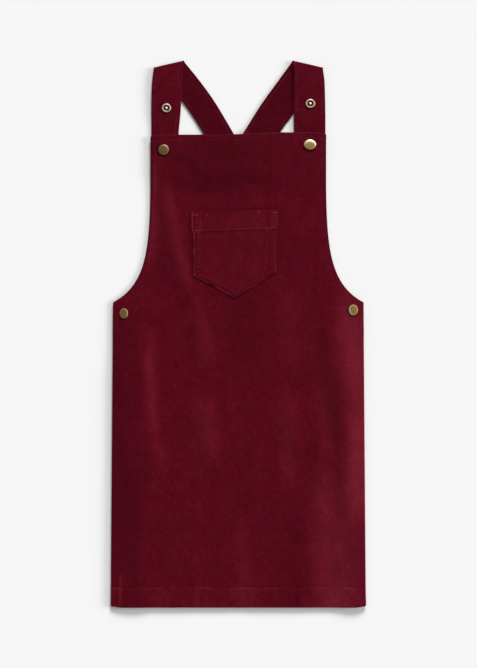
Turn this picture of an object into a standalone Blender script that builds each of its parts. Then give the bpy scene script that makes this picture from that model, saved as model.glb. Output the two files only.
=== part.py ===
"""Girl's needlecord pinafore dress, laid out flat on its back panel.

X runs across the dress, Y from the hem up to the shoulders and Z up from the surface that it lies on.
The origin is the middle of the dress's box, on that surface. Sizes are in millimetres, and MM turns
them into metres when a mesh is made. Left and right are as seen from above.
"""
import math
from collections import namedtuple

import bmesh
import bpy
import numpy as np
from mathutils import Vector
from mathutils.bvhtree import BVHTree

MM = 0.001

# Cloth
CLOTH = 1.2             # one layer of needlecord
STRAP = 2.0             # a strap, sewn as a tube and pressed flat
GAP = 0.3               # air between two layers that lie on each other

# Outline of the front, as half widths and heights on the sheet
BIB_Y = 259.0           # top edge of the bib
UNDERARM_Y = 41.0       # corner where armhole and side meet
SLIT_END_Y = -10.0      # foot of the side opening
FULL_TURN_Y = -60.0     # from here down the skirt's sides are fully rolled
HEM_Y = -356.0
BIB_HALF = 114.2
CHEST_HALF = 163.0
HEM_HALF = 166.0

# Side seam, halfway up the rolled edge of the skirt
SEAM_Z = 3.3
SEAM_RIM = SEAM_Z - GAP # top of the back panel's turned-up edge

Station = namedtuple("Station", "y edge turn crest left right crown")
# Cross sections of the front, from the bib down. edge is the height of the outer face at the side,
# turn how steeply it leaves the side in degrees, crest the height that it reaches left or right further
# in, and crown the height in the middle.
FRONT_STATIONS = (
    Station(264, 3.9, 15, 5.5, 14, 14, 5.6),
    Station(240, 3.9, 15, 5.8, 16, 16, 5.9),
    Station(216, 3.8, 15, 5.6, 18, 18, 6.2),
    Station(204, 3.2, 15, 4.8, 20, 20, 6.1),
    Station(192, 2.6, 12, 4.0, 22, 22, 5.3),
    Station(178, 2.2, 12, 3.8, 24, 24, 4.6),
    Station(160, 2.0, 12, 5.0, 26, 26, 5.2),
    Station(130, 2.0, 12, 5.0, 26, 26, 5.3),
    Station(112, 2.0, 12, 4.2, 22, 22, 4.5),
    Station(90, 2.1, 12, 3.7, 18, 18, 3.9),
    Station(70, 2.3, 12, 3.5, 14, 14, 3.7),
    Station(56, 2.7, 12, 3.7, 14, 16, 3.7),
    Station(41, 3.0, 12, 4.0, 16, 22, 3.7),
    Station(20, 3.1, 20, 4.6, 22, 34, 3.7),
    Station(0, 3.2, 35, 5.6, 28, 40, 3.8),
    Station(-30, 3.3, 60, 7.0, 32, 36, 3.9),
    Station(-60, 3.3, 90, 8.1, 36, 30, 4.0),
    Station(-140, 3.3, 90, 8.5, 38, 24, 4.2),
    Station(-200, 3.3, 90, 8.3, 36, 22, 4.2),
    Station(-340, 3.3, 90, 7.7, 30, 18, 3.8),
    Station(-357, 3.3, 90, 7.5, 30, 18, 3.6),
)
EDGE_ROUND = 1.7        # radius on which a side is rolled, before a slope climbs to the crest
CREST_HANDLE = 0.65     # share of the way in to the crest after which the slope flattens
EDGE_SPACING = 1.7      # points lie closer together towards the side
SETTLE = 30.0           # from crest to crown
EDGE_CALM = 14.0        # folds fade out over this much before the side

Fold = namedtuple("Fold", "top_x top_y mid_x mid_y low_x low_y height left right")
# Largest folds: a crest line through three points, its height, and how far it spreads to either side.
FOLDS = (
    Fold(-97, 206, -76, 90, -36, -36, 1.6, 13, 15),
    Fold(-122, 48, -121, -80, -96, -246, 2.0, 18, 11),
    Fold(-47, -70, -41, -125, -36, -190, 2.2, 13, 14),
    Fold(64, -66, 72, -115, 82, -178, 2.0, 12, 14),
    Fold(102, -84, 108, -190, 108, -300, 2.8, 13, 15),
    Fold(20, -130, 22, -180, 25, -240, 1.4, 13, 13),
    Fold(116, 46, 128, -50, 140, -160, 2.2, 16, 18),
    Fold(2, 226, 2, 200, 2, 162, 1.1, 17, 17),
)
FOLD_TAPER = 0.3        # share of a fold's length that fades out at either end

# Edges that aren't straight
BIB_RISE = 3.0          # the bib's right half stands this much higher
BIB_RISE_START = -30.0
BIB_RISE_LENGTH = 90.0
BIB_CORNER = 2.5        # drop of the bib's corners
HEM_LIFT = 2.5          # rise of the hem's corners, where they round the side
CORNER = 16.0           # length of those corners
EDGE_BLEND = 58.0       # the rows fall back into line over this much

BandRow = namedtuple("BandRow", "start end steps")
FRONT_BANDS = (
    BandRow(BIB_Y, 205, 5), BandRow(205, 75, 11), BandRow(75, UNDERARM_Y, 7),
    BandRow(UNDERARM_Y, FULL_TURN_Y, 8), BandRow(FULL_TURN_Y, HEM_Y, 21),
)
BACK_TOP_Y = 150.0
BACK_TOP_HALF = 82.0
BACK_INSET = 0.8        # the back's side and hem lie this much inside the front's
BACK_BANDS = (
    BandRow(BACK_TOP_Y, 75, 6), BandRow(75, UNDERARM_Y - BACK_INSET, 6),
    BandRow(UNDERARM_Y - BACK_INSET, SLIT_END_Y, 2), BandRow(SLIT_END_Y, FULL_TURN_Y, 4),
    BandRow(FULL_TURN_Y, HEM_Y + BACK_INSET, 6),
)
EDGE_STEPS = 7
BACK_EDGE_STEPS = 5
FRONT_MIDDLE_STEPS = 24
BACK_MIDDLE_STEPS = 10

# Chest pocket
POCKET_X = -4.5
POCKET_TOP_Y = 159.5
POCKET_BAND = 24.5      # turned and stitched band along the top
POCKET_TOP_HALF = 56.2
POCKET_HALF = 54.0
POCKET_CORNER_Y = 77.0
POCKET_TIP_Y = 46.5
POCKET_TURN = 0.5       # the band's extra thickness
POCKET_GAP = 0.45
POCKET_TILT = 0.034     # the pocket's right side sits higher
POCKET_COLUMNS = 12
POCKET_ROWS = 12

Section = namedtuple("Section", "outer_x outer_y inner_x inner_y under bow")
# Straps, from the end under the bib up to the fold, then from the fold down to the back panel. outer is
# the edge on the armhole side before the fold, and the same edge carries on after it. under is the
# height of the lower face, bow the rise of the strap's middle.
LEFT_FRONT_RUN = (
    Section(-112.8, 213.0, -79.0, 213.0, 0.0, 0.0),
    Section(-113.2, 259.8, -77.7, 259.8, 0.1, 0.3),
    Section(-113.2, 293.6, -74.5, 297.5, 1.9, 0.5),
    Section(-112.3, 327.4, -73.5, 333.9, 2.4, 0.5),
    Section(-110.6, 346.6, -70.6, 356.0, 2.3, 0.0),
)
LEFT_BACK_RUN = (
    Section(-110.6, 346.6, -70.6, 356.0, 0.0, 0.0),
    Section(-91.4, 323.5, -50.1, 329.1, 0.0, 0.0),
    Section(-74.1, 304.0, -32.5, 304.8, 0.0, 0.2),
    Section(-44.5, 259.7, -5.1, 259.2, 0.0, 0.2),
    Section(-17.5, 217.0, 20.0, 217.0, 0.0, 0.0),
    Section(7.0, 172.0, 48.0, 172.0, 0.0, 0.0),
    Section(18.5, 152.0, 60.0, 152.0, 1.5, 0.0),
    Section(31.0, 130.0, 73.0, 130.0, 1.5, 0.0),
)
RIGHT_FRONT_RUN = (
    Section(113.5, 219.5, 72.8, 219.5, 0.0, 0.0),
    Section(113.5, 259.8, 72.7, 261.0, 0.5, 0.3),
    Section(113.4, 279.0, 72.3, 281.0, 2.1, 0.4),
    Section(113.2, 295.6, 72.2, 298.8, 2.4, 0.4),
    Section(112.3, 327.4, 72.4, 333.9, 2.4, 0.5),
    Section(110.6, 346.6, 70.2, 356.0, 2.3, 0.0),
)
RIGHT_BACK_RUN = (
    Section(110.6, 346.6, 70.2, 356.0, 0.0, 0.0),
    Section(91.3, 315.7, 51.0, 328.1, 0.0, 0.0),
    Section(70.4, 285.0, 29.5, 298.3, 0.0, 0.0),
    Section(53.6, 261.2, 6.2, 261.2, 0.0, 0.0),
    Section(25.5, 217.0, -23.0, 217.0, 0.0, 0.0),
    Section(-3.0, 172.0, -50.5, 172.0, 0.0, 0.0),
    Section(-15.5, 152.0, -62.5, 152.0, 1.5, 0.0),
    Section(-28.5, 130.0, -75.5, 130.0, 1.5, 0.0),
)
STRAP_COLUMNS = 5
STRAP_STEPS = 4         # rows to each stretch of the tables above
FOLD_STEPS = 6
FOLD_AIR = 0.3          # between the two layers at the fold
CROSS_MARGIN = 4.0      # the upper strap is level this far beyond the lower one
CROSS_SPREAD = 15.0     # and comes down to the surface over this much

Snap = namedtuple("Snap", "name x y wide tall")
# Where the snaps sit and how wide and tall their faces are, which setting has pressed a little oval.
BIB_SNAPS = (
    Snap("bib_snap_left", -97.1, 239.1, 15.0, 15.0),
    Snap("bib_snap_right", 93.1, 245.8, 17.0, 14.6),
)
SIDE_SNAPS = (
    Snap("side_snap_left", -148.9, 26.5, 12.6, 15.0),
    Snap("side_snap_right", 149.5, 31.0, 13.6, 15.6),
)
STRAP_SNAPS = (
    Snap("strap_snap_left", -93.5, 293.6, 12.8, 12.2),
    Snap("strap_snap_right", 93.6, 299.3, 13.2, 12.2),
)
SNAP_SIDES = 18
POST = 1.8              # radius of the post through the cloth
POST_HOLE = 2.3
SOCKET = 4.6            # radius of the part behind the cloth
SOCKET_AIR = 0.3        # between a bib or side snap and the layer under it
FLANGE = 0.8            # thickness of a strap snap's back
PUNCH_DEPTH = 14.0
SIDES = ("left", "right")

BURGUNDY = (0.085, 0.006, 0.014, 1.0)
BRASS = (0.33, 0.22, 0.10, 1.0)


def smooth(t):
    t = np.clip(t, 0.0, 1.0)
    return t * t * (3.0 - 2.0 * t)


def curve_through(places, values, at):
    """Value at a place of the smooth curve through a table's rows, with no overshoot between them."""
    places = np.asarray(places, float)
    values = np.asarray(values, float)
    if places[0] > places[-1]:
        places = places[::-1]
        values = values[::-1]
    slopes = np.diff(values) / np.diff(places)
    tangents = np.zeros(len(values))
    same_way = slopes[1:] * slopes[:-1] > 0
    tangents[1:-1][same_way] = 2.0 / (1.0 / slopes[1:][same_way] + 1.0 / slopes[:-1][same_way])
    tangents[0] = slopes[0]
    tangents[-1] = slopes[-1]
    at = np.clip(at, places[0], places[-1])
    k = np.clip(np.searchsorted(places, at, side="right") - 1, 0, len(slopes) - 1)
    width = places[k + 1] - places[k]
    t = (at - places[k]) / width
    return (values[k] * (1 + 2 * t) * (1 - t) ** 2 + values[k + 1] * t * t * (3 - 2 * t)
            + tangents[k] * width * t * (1 - t) ** 2 - tangents[k + 1] * width * t * t * (1 - t))


def bezier(points, t):
    a, b, c, d = (np.asarray(p, float) for p in points)
    t = np.asarray(t, float)[..., None]
    return (1 - t) ** 3 * a + 3 * (1 - t) ** 2 * t * b + 3 * (1 - t) * t * t * c + t ** 3 * d


def armhole_half(y, top, upper_handle, lower_handle):
    """Half width at a height of an armhole that ends in the underarm corner."""
    corner = (CHEST_HALF, UNDERARM_Y)
    points = bezier((top, upper_handle, lower_handle, corner), np.linspace(0, 1, 60))
    return np.interp(y, points[::-1, 1], points[::-1, 0])


def side_half(y):
    """Half width of the skirt, flaring from the underarm to the hem."""
    return CHEST_HALF + (HEM_HALF - CHEST_HALF) * (UNDERARM_Y - y) / (UNDERARM_Y - HEM_Y)


def front_half(y):
    if y < UNDERARM_Y:
        return side_half(y)
    return armhole_half(y, (BIB_HALF, 225.0), (BIB_HALF, 117.0), (116.2, 65.9))


def back_half(y):
    if y < UNDERARM_Y - BACK_INSET:
        return side_half(y) - BACK_INSET
    return armhole_half(y, (BACK_TOP_HALF, BACK_TOP_Y), (86.0, 92.0), (118.0, 56.0)) - BACK_INSET


def calm_folds(x, y):
    """Height that the folds add to the front at a place, fading out towards its sides."""
    total = 0.0
    for fold in FOLDS:
        ys = (fold.top_y, fold.mid_y, fold.low_y)
        along = (fold.top_y - y) / (fold.top_y - fold.low_y)
        ends = smooth(along / FOLD_TAPER) * smooth((1.0 - along) / FOLD_TAPER)
        offset = x - curve_through(ys, (fold.top_x, fold.mid_x, fold.low_x), y)
        spread = fold.left if offset < 0 else fold.right
        total += fold.height * ends * math.exp(-(offset / spread) ** 2)
    return total * smooth((front_half(y) - abs(x)) / EDGE_CALM)


def front_station(y):
    ys = [row.y for row in FRONT_STATIONS]
    return Station(y, *(float(curve_through(ys, [row[k] for row in FRONT_STATIONS], y)) for k in range(1, 7)))


def front_height(x, y):
    """Height of the front's outer face, away from its rolled sides."""
    row = front_station(y)
    inside = front_half(y) - (row.left if x < 0 else row.right) - abs(x)
    return row.crown + (row.crest - row.crown) * (1 - smooth(inside / SETTLE)) + calm_folds(x, y)


def edge_profile(half, row, shoulder):
    """Cross section from the side of the front inwards to its crest, as rows of x, z and the lean there."""
    turn = math.radians(row.turn)
    run = CREST_HANDLE * shoulder - EDGE_ROUND * math.sin(turn)
    slope = math.atan2(row.crest - row.edge - EDGE_ROUND * (1 - math.cos(turn)), run)
    lean = np.linspace(turn, slope, 24)
    arc_x = half - EDGE_ROUND * (math.sin(turn) - np.sin(lean))
    arc_z = row.edge + EDGE_ROUND * (np.cos(lean) - math.cos(turn))
    foot = np.array([arc_x[-1], arc_z[-1]])
    handle = np.array([-run / 2, run / 2 * math.tan(slope)])
    crest = ((half - CREST_HANDLE * shoulder, row.crest), (half - shoulder, row.crest))
    climb = bezier((foot, foot + handle) + crest, np.linspace(0, 1, 40)[1:])
    line = np.concatenate([np.stack([arc_x, arc_z], -1), climb])
    chords = np.diff(line, axis=0)
    length = np.concatenate([[0.0], np.cumsum(np.linalg.norm(chords, axis=1))])
    leans = np.concatenate([[turn], np.arctan2(chords[:, 1], -chords[:, 0])])
    lean_at = np.concatenate([[0.0], (length[1:] + length[:-1]) / 2])
    places = length[-1] * (np.arange(EDGE_STEPS) / EDGE_STEPS) ** EDGE_SPACING
    x, z = (np.interp(places, length, column) for column in line.T)
    return np.stack([x, z, np.interp(places, lean_at, leans)], -1)


def edge_shift(x, y):
    """How far the bib's top edge and the hem's corners stray from a level line."""
    near_top = smooth(1 - (BIB_Y - y) / EDGE_BLEND)
    near_hem = smooth(1 - (y - HEM_Y) / EDGE_BLEND)
    corner = np.clip(1.0 - (front_half(y) - abs(x)) / CORNER, 0.0, 1.0) ** 2
    rise = BIB_RISE * smooth((x - BIB_RISE_START) / BIB_RISE_LENGTH) - BIB_CORNER * corner
    return near_top * rise + near_hem * HEM_LIFT * corner


def band_rows(bands):
    """Heights on the sheet of a panel's rows, from its top edge down."""
    rows = [bands[0].start]
    for band in bands:
        rows.extend(np.linspace(band.start, band.end, band.steps + 1)[1:])
    return rows


def front_faces():
    """Outer and inner face of the front: rows from the bib down, columns from left to right."""
    face = []
    sides = []
    for y in band_rows(FRONT_BANDS):
        half = front_half(y)
        row = front_station(y)
        left = edge_profile(half, row, row.left) * (-1, 1, -1)
        right = edge_profile(half, row, row.right)[::-1]
        across = np.linspace(row.left - half, half - row.right, FRONT_MIDDLE_STEPS + 1)
        section = [(x, z + calm_folds(x, y)) for x, z, _ in left]
        section += [(x, front_height(x, y)) for x in across]
        section += [(x, z + calm_folds(x, y)) for x, z, _ in right]
        face.append([(x, y + edge_shift(x, y), z) for x, z in section])
        sides.append((left[:, 2], right[:, 2]))
    face = np.array(face)
    up = grid_normals(face)
    for columns, lean in zip((slice(None, EDGE_STEPS), slice(-EDGE_STEPS, None)), zip(*sides)):
        lean = np.array(lean)
        up[:, columns] = np.stack([np.sin(lean), 0 * lean, np.cos(lean)], -1)
    return face, face - up * CLOTH


def back_grid():
    """Points of the back's outer face, flat on the surface and turned up at the skirt's sides."""
    grid = []
    for y in band_rows(BACK_BANDS):
        half = back_half(y)
        turn = math.pi / 2 * float(smooth((SLIT_END_Y - y) / (SLIT_END_Y - FULL_TURN_Y)))
        foot = half - SEAM_RIM * math.sin(turn)
        side = []
        for share in np.linspace(0, 1, BACK_EDGE_STEPS + 1):
            flat = SEAM_RIM * (math.pi / 2 - turn) * (1 - share)
            angle = turn * share
            side.append((foot - flat + SEAM_RIM * math.sin(angle), SEAM_RIM * (1 - math.cos(angle))))
        middle = [(x, 0.0) for x in np.linspace(-side[0][0], side[0][0], BACK_MIDDLE_STEPS + 1)[1:-1]]
        section = [(-x, z) for x, z in side[::-1]] + middle + side
        grid.append([(x, y, z) for x, z in section])
    return np.array(grid)


def grid_normals(grid):
    """Unit normals of a grid of points, upwards where the grid lies flat."""
    down = np.gradient(grid, axis=0, edge_order=2)
    across = np.gradient(grid, axis=1, edge_order=2)
    normals = np.cross(down, across)
    normals /= np.linalg.norm(normals, axis=2)[..., None]
    return normals


def mesh_object(name, vertices, faces, material):
    mesh = bpy.data.meshes.new(name)
    mesh.from_pydata([tuple(float(c) * MM for c in v) for v in vertices], [], faces)
    work = bmesh.new()
    work.from_mesh(mesh)
    bmesh.ops.triangulate(work, faces=work.faces)
    bmesh.ops.recalc_face_normals(work, faces=work.faces)
    work.to_mesh(mesh)
    work.free()
    mesh.shade_smooth()
    mesh.set_sharp_from_angle(angle=math.radians(50))
    mesh.materials.append(material)
    item = bpy.data.objects.new(name, mesh)
    bpy.context.scene.collection.objects.link(item)
    return item


def wall(name, face, other_face, material):
    """Closed wall between two grids of points of the same size."""
    rows, columns = face.shape[:2]
    vertices = np.concatenate([face.reshape(-1, 3), other_face.reshape(-1, 3)])

    def at(layer, row, column):
        return layer * rows * columns + row * columns + column

    faces = []
    for i in range(rows - 1):
        for j in range(columns - 1):
            faces.append((at(0, i, j), at(0, i + 1, j), at(0, i + 1, j + 1), at(0, i, j + 1)))
            faces.append((at(1, i, j), at(1, i, j + 1), at(1, i + 1, j + 1), at(1, i + 1, j)))
    rim = [(i, 0) for i in range(rows)]
    rim += [(rows - 1, j) for j in range(1, columns)]
    rim += [(i, columns - 1) for i in range(rows - 2, -1, -1)]
    rim += [(0, j) for j in range(columns - 2, 0, -1)]
    for here, there in zip(rim, rim[1:] + rim[:1]):
        faces.append((at(0, *here), at(1, *here), at(1, *there), at(0, *there)))
    return mesh_object(name, vertices, faces, material)


def pocket_grids():
    """Lower and upper face of the chest pocket, from points of the front moved out."""
    lower = []
    upper = []
    for v in np.linspace(0, 1, POCKET_ROWS + 1):
        lower_row = []
        upper_row = []
        for u in np.linspace(-1, 1, POCKET_COLUMNS + 1):
            foot = POCKET_TIP_Y + (POCKET_CORNER_Y - POCKET_TIP_Y) * abs(u)
            y = POCKET_TOP_Y + (foot - POCKET_TOP_Y) * v
            in_band = 1 - smooth((POCKET_TOP_Y - POCKET_BAND - y) / 6.0 + 0.5)
            aside = u * (POCKET_HALF + (POCKET_TOP_HALF - POCKET_HALF) * in_band)
            x = POCKET_X + aside
            y = y + POCKET_TILT * aside
            under = front_height(x, y) + POCKET_GAP
            lower_row.append((x, y, under))
            upper_row.append((x, y, under + CLOTH + POCKET_TURN * in_band))
        lower.append(lower_row)
        upper.append(upper_row)
    return np.array(upper), np.array(lower)


def strap_run(sections):
    """Rows of a strap's stretch, by length along it: its outer edge, inner edge, underside and bow."""
    corners = np.array(sections)
    middle = (corners[:, 0:2] + corners[:, 2:4]) / 2
    places = np.concatenate([[0.0], np.cumsum(np.linalg.norm(np.diff(middle, axis=0), axis=1))])
    steps = np.linspace(0, len(sections) - 1, (len(sections) - 1) * STRAP_STEPS + 1)
    at = np.interp(steps, range(len(sections)), places)
    return np.stack([curve_through(places, column, at) for column in corners.T], -1).tolist()


def strap_lift(x, y, upper):
    """How far the upper strap is raised where it crosses the lower one behind the bib."""
    if not upper:
        return 0.0
    start, end = LEFT_BACK_RUN[3], LEFT_BACK_RUN[-1]
    a = Vector(((start.outer_x + start.inner_x) / 2, (start.outer_y + start.inner_y) / 2))
    b = Vector(((end.outer_x + end.inner_x) / 2, (end.outer_y + end.inner_y) / 2))
    along = (b - a).normalized()
    aside = abs((Vector((x, y)) - a).cross(along))
    half = (end.inner_x - end.outer_x) / 2 * abs(along.y)
    return (STRAP + GAP) * float(smooth(1.0 - (aside - half - CROSS_MARGIN) / CROSS_SPREAD))


def strap_grids(front_run, back_run, upper):
    """Both faces of a strap that is folded over at the shoulder."""
    crease = front_run[-1]
    outer = Vector((crease.outer_x, crease.outer_y, 0))
    inner = Vector((crease.inner_x, crease.inner_y, 0))
    beyond = Vector((outer.y - inner.y, inner.x - outer.x, 0)).normalized()
    if beyond.y < 0:
        beyond = -beyond
    radius = STRAP + FOLD_AIR / 2
    outer = outer - beyond * radius
    inner = inner - beyond * radius
    drawn_in = dict(outer_x=outer.x, outer_y=outer.y, inner_x=inner.x, inner_y=inner.y)
    front_run = front_run[:-1] + (front_run[-1]._replace(**drawn_in),)
    back_run = (back_run[0]._replace(**drawn_in),) + back_run[1:]
    rows = []
    up = Vector((0, 0, 1))
    for out, run in ((up, strap_run(front_run)), (-up, strap_run(back_run)[::-1])):
        stretch = []
        for outer_x, outer_y, inner_x, inner_y, under, bow in run:
            ends = (Vector((outer_x, outer_y, 0)), Vector((inner_x, inner_y, 0)))
            points = []
            for t in np.linspace(0, 1, STRAP_COLUMNS + 1):
                p = ends[0].lerp(ends[1], t)
                height = under + STRAP / 2 + bow * 4 * t * (1 - t)
                lift = strap_lift(p.x, p.y, upper) if out.z < 0 else 0.0
                points.append(p + up * (height + lift))
            stretch.append((points, out))
        rows.append(stretch)
    front_rows, back_rows = rows
    middle = []
    for k in range(1, FOLD_STEPS):
        angle = math.pi / 2 - math.pi * k / FOLD_STEPS
        out = beyond * math.cos(angle) + up * math.sin(angle)
        reach = (STRAP + FOLD_AIR) / 2
        ends = [edge + up * radius + out * reach for edge in (outer, inner)]
        middle.append(([ends[0].lerp(ends[1], t) for t in np.linspace(0, 1, STRAP_COLUMNS + 1)], out))
    faces = []
    for side in (1, -1):
        face = []
        for points, out in front_rows + middle + back_rows[::-1]:
            face.append([tuple(p + out * (side * STRAP / 2)) for p in points])
        faces.append(np.array(face))
    return faces


def turned(name, profile, snap, place, material):
    """Solid turned from a profile of (radius, height) rows about a snap's axis."""
    location, normal = place
    oval = snap.tall / snap.wide
    vertices = [Vector((0.0, 0.0, profile[0][1]))]
    for radius, height in profile[1:-1]:
        for k in range(SNAP_SIDES):
            angle = 2 * math.pi * k / SNAP_SIDES
            vertices.append(Vector((radius * math.cos(angle), radius * oval * math.sin(angle), height)))
    vertices.append(Vector((0.0, 0.0, profile[-1][1])))
    last = len(vertices) - 1
    faces = []
    for k in range(SNAP_SIDES):
        after = (k + 1) % SNAP_SIDES
        faces.append((0, 1 + k, 1 + after))
        faces.append((last, last - SNAP_SIDES + after, last - SNAP_SIDES + k))
        for ring in range(len(profile) - 3):
            high = 1 + ring * SNAP_SIDES
            low = high + SNAP_SIDES
            faces.append((high + k, low + k, low + after, high + after))
    item = mesh_object(name, vertices, faces, material)
    item.location = location * MM
    item.rotation_euler = Vector((0, 0, 1)).rotation_difference(normal).to_euler()
    return item


def cap_profile(snap, cloth, socket):
    """A brass cap on the cloth, its post through it and the socket behind it."""
    half = snap.wide / 2
    rear = -(cloth + GAP)
    return [
        (0.0, GAP + 1.9), (0.55 * half, GAP + 1.8), (0.80 * half, GAP + 1.5), (0.93 * half, GAP + 1.0),
        (half, GAP + 0.5), (0.94 * half, GAP), (POST, GAP), (POST, rear),
        (SOCKET, rear), (SOCKET, rear - socket), (0.0, rear - socket),
    ]


def stud_profile(snap, cloth, flange):
    """A ring with a sunken centre and a nub in it, its post through the strap and a flange behind."""
    half = snap.wide / 2
    rear = -(cloth + GAP)
    return [
        (0.0, GAP + 1.5), (1.0, GAP + 1.4), (1.5, GAP + 0.9), (1.7, GAP + 0.4), (0.58 * half, GAP + 0.4),
        (0.64 * half, GAP + 1.0), (0.76 * half, GAP + 1.4), (0.90 * half, GAP + 1.2), (half, GAP + 0.6),
        (0.96 * half, GAP), (POST, GAP), (POST, rear),
        (SOCKET, rear), (SOCKET, rear - flange), (0.0, rear - flange),
    ]


def seat(face, x, y):
    """Point and upward normal of a grid's surface under a place."""
    rows, columns = face.shape[:2]
    points = [Vector(p) for p in face.reshape(-1, 3)]
    quads = [(i * columns + j, (i + 1) * columns + j, (i + 1) * columns + j + 1, i * columns + j + 1)
             for i in range(rows - 1) for j in range(columns - 1)]
    tree = BVHTree.FromPolygons(points, quads)
    location, normal, _, _ = tree.ray_cast(Vector((x, y, 50.0)), Vector((0, 0, -1)))
    return location, (normal if normal.z > 0 else -normal)


def punch(cloth, snap, place):
    """Hole through the cloth for a snap's post."""
    location, normal = place
    bpy.ops.mesh.primitive_cylinder_add(vertices=12, radius=POST_HOLE * MM, depth=PUNCH_DEPTH * MM)
    cutter = bpy.context.object
    cutter.name = "punch_" + snap.name
    cutter.location = location * MM
    cutter.rotation_euler = Vector((0, 0, 1)).rotation_difference(normal).to_euler()
    cutter.hide_render = True
    cutter.display_type = "WIRE"
    hole = cloth.modifiers.new(cutter.name, "BOOLEAN")
    hole.operation = "DIFFERENCE"
    hole.solver = "EXACT"
    hole.object = cutter


def finish(name, color, roughness, metallic):
    material = bpy.data.materials.new(name)
    material.use_nodes = True
    shader = material.node_tree.nodes["Principled BSDF"]
    shader.inputs["Base Color"].default_value = color
    shader.inputs["Roughness"].default_value = roughness
    shader.inputs["Metallic"].default_value = metallic
    return material


def build_dress():
    cord = finish("needlecord", BURGUNDY, 0.9, 0.0)
    brass = finish("aged_brass", BRASS, 0.4, 0.9)

    back = back_grid()
    back_inside = back + grid_normals(back) * CLOTH
    wall("back_panel", back, back_inside, cord)

    front, front_inside = front_faces()
    front_panel = wall("front_panel", front, front_inside, cord)

    pocket_upper, pocket_lower = pocket_grids()
    wall("chest_pocket", pocket_upper, pocket_lower, cord)

    runs = ((LEFT_FRONT_RUN, LEFT_BACK_RUN, False), (RIGHT_FRONT_RUN, RIGHT_BACK_RUN, True))
    for side, run, bib_snap, side_snap, strap_snap in zip(SIDES, runs, BIB_SNAPS, SIDE_SNAPS, STRAP_SNAPS):
        upper, lower = strap_grids(*run)
        strap = wall("strap_" + side, upper, lower, cord)

        place = seat(upper, strap_snap.x, strap_snap.y)
        turned(strap_snap.name, stud_profile(strap_snap, STRAP, FLANGE), strap_snap, place, brass)
        punch(strap, strap_snap, place)

        for snap, under in ((bib_snap, upper), (side_snap, back_inside)):
            place = seat(front, snap.x, snap.y)
            rest = seat(under, snap.x, snap.y)[0].z
            droop = SOCKET * place[1].xy.length
            socket = place[0].z - CLOTH - GAP - SOCKET_AIR - droop - rest
            turned(snap.name, cap_profile(snap, CLOTH, socket), snap, place, brass)
            punch(front_panel, snap, place)


def main():
    for item in list(bpy.data.objects):
        bpy.data.objects.remove(item, do_unlink=True)
    build_dress()


main()
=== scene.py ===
"""Girl's needlecord pinafore dress, laid out flat: its cloth, stitching and brass over the solids.

X runs across the dress, Y from the hem up to the shoulders and Z up from the surface that it lies on.
Sizes are in millimetres, and MM turns them into metres when a mesh is made. Left and right are as seen
from above.
"""
import math
from collections import namedtuple

import bpy
import numpy as np
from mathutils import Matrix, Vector
from mathutils.bvhtree import BVHTree


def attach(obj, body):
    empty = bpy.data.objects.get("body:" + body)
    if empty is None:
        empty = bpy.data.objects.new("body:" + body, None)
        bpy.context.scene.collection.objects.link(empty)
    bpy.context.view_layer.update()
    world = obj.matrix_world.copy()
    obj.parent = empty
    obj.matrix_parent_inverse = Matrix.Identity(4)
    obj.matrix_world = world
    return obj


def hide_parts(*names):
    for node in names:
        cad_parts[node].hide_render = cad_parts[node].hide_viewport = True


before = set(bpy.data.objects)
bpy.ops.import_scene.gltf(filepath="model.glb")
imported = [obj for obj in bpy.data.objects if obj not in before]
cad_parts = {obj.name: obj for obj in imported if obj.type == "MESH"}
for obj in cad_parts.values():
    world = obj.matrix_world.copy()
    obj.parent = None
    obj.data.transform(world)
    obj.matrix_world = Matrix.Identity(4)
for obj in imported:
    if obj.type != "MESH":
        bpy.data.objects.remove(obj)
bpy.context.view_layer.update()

MM = 0.001
UP = np.array([0.0, 0.0, 1.0])
CLEAR_OFF = 50.0        # far above or below all of the dress

# Cloth
CLOTH = 1.2             # one layer of needlecord
STRAP = 2.0             # a strap, sewn as a tube and pressed flat
GAP = 0.3               # air between two layers that lie on each other
CUT_RIM = 0.5           # roundness of a turned edge
STRAP_RIM = 1.0
RIM_STEPS = 6
RIM_SHARE = 0.6         # of a wall's outermost faces, that its rim may take up

# Outline of the front, as half widths and heights on the sheet
BIB_Y = 259.0           # top edge of the bib
UNDERARM_Y = 41.0       # corner where armhole and side meet
SLIT_END_Y = -10.0      # foot of the side opening
FULL_TURN_Y = -60.0     # from here down the skirt's sides are fully rolled
HEM_Y = -356.0
BIB_HALF = 114.2
CHEST_HALF = 163.0
HEM_HALF = 166.0
SEAM_RIM = 3.0          # radius of the back panel's turned-up edge
# An armhole's curve down to the underarm: its top and two handles, as half widths and heights.
FRONT_ARMHOLE = ((BIB_HALF, 225.0), (BIB_HALF, 117.0), (116.2, 65.9))
CURVE_POINTS = 200

Station = namedtuple("Station", "y edge turn crest left right crown")
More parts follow.
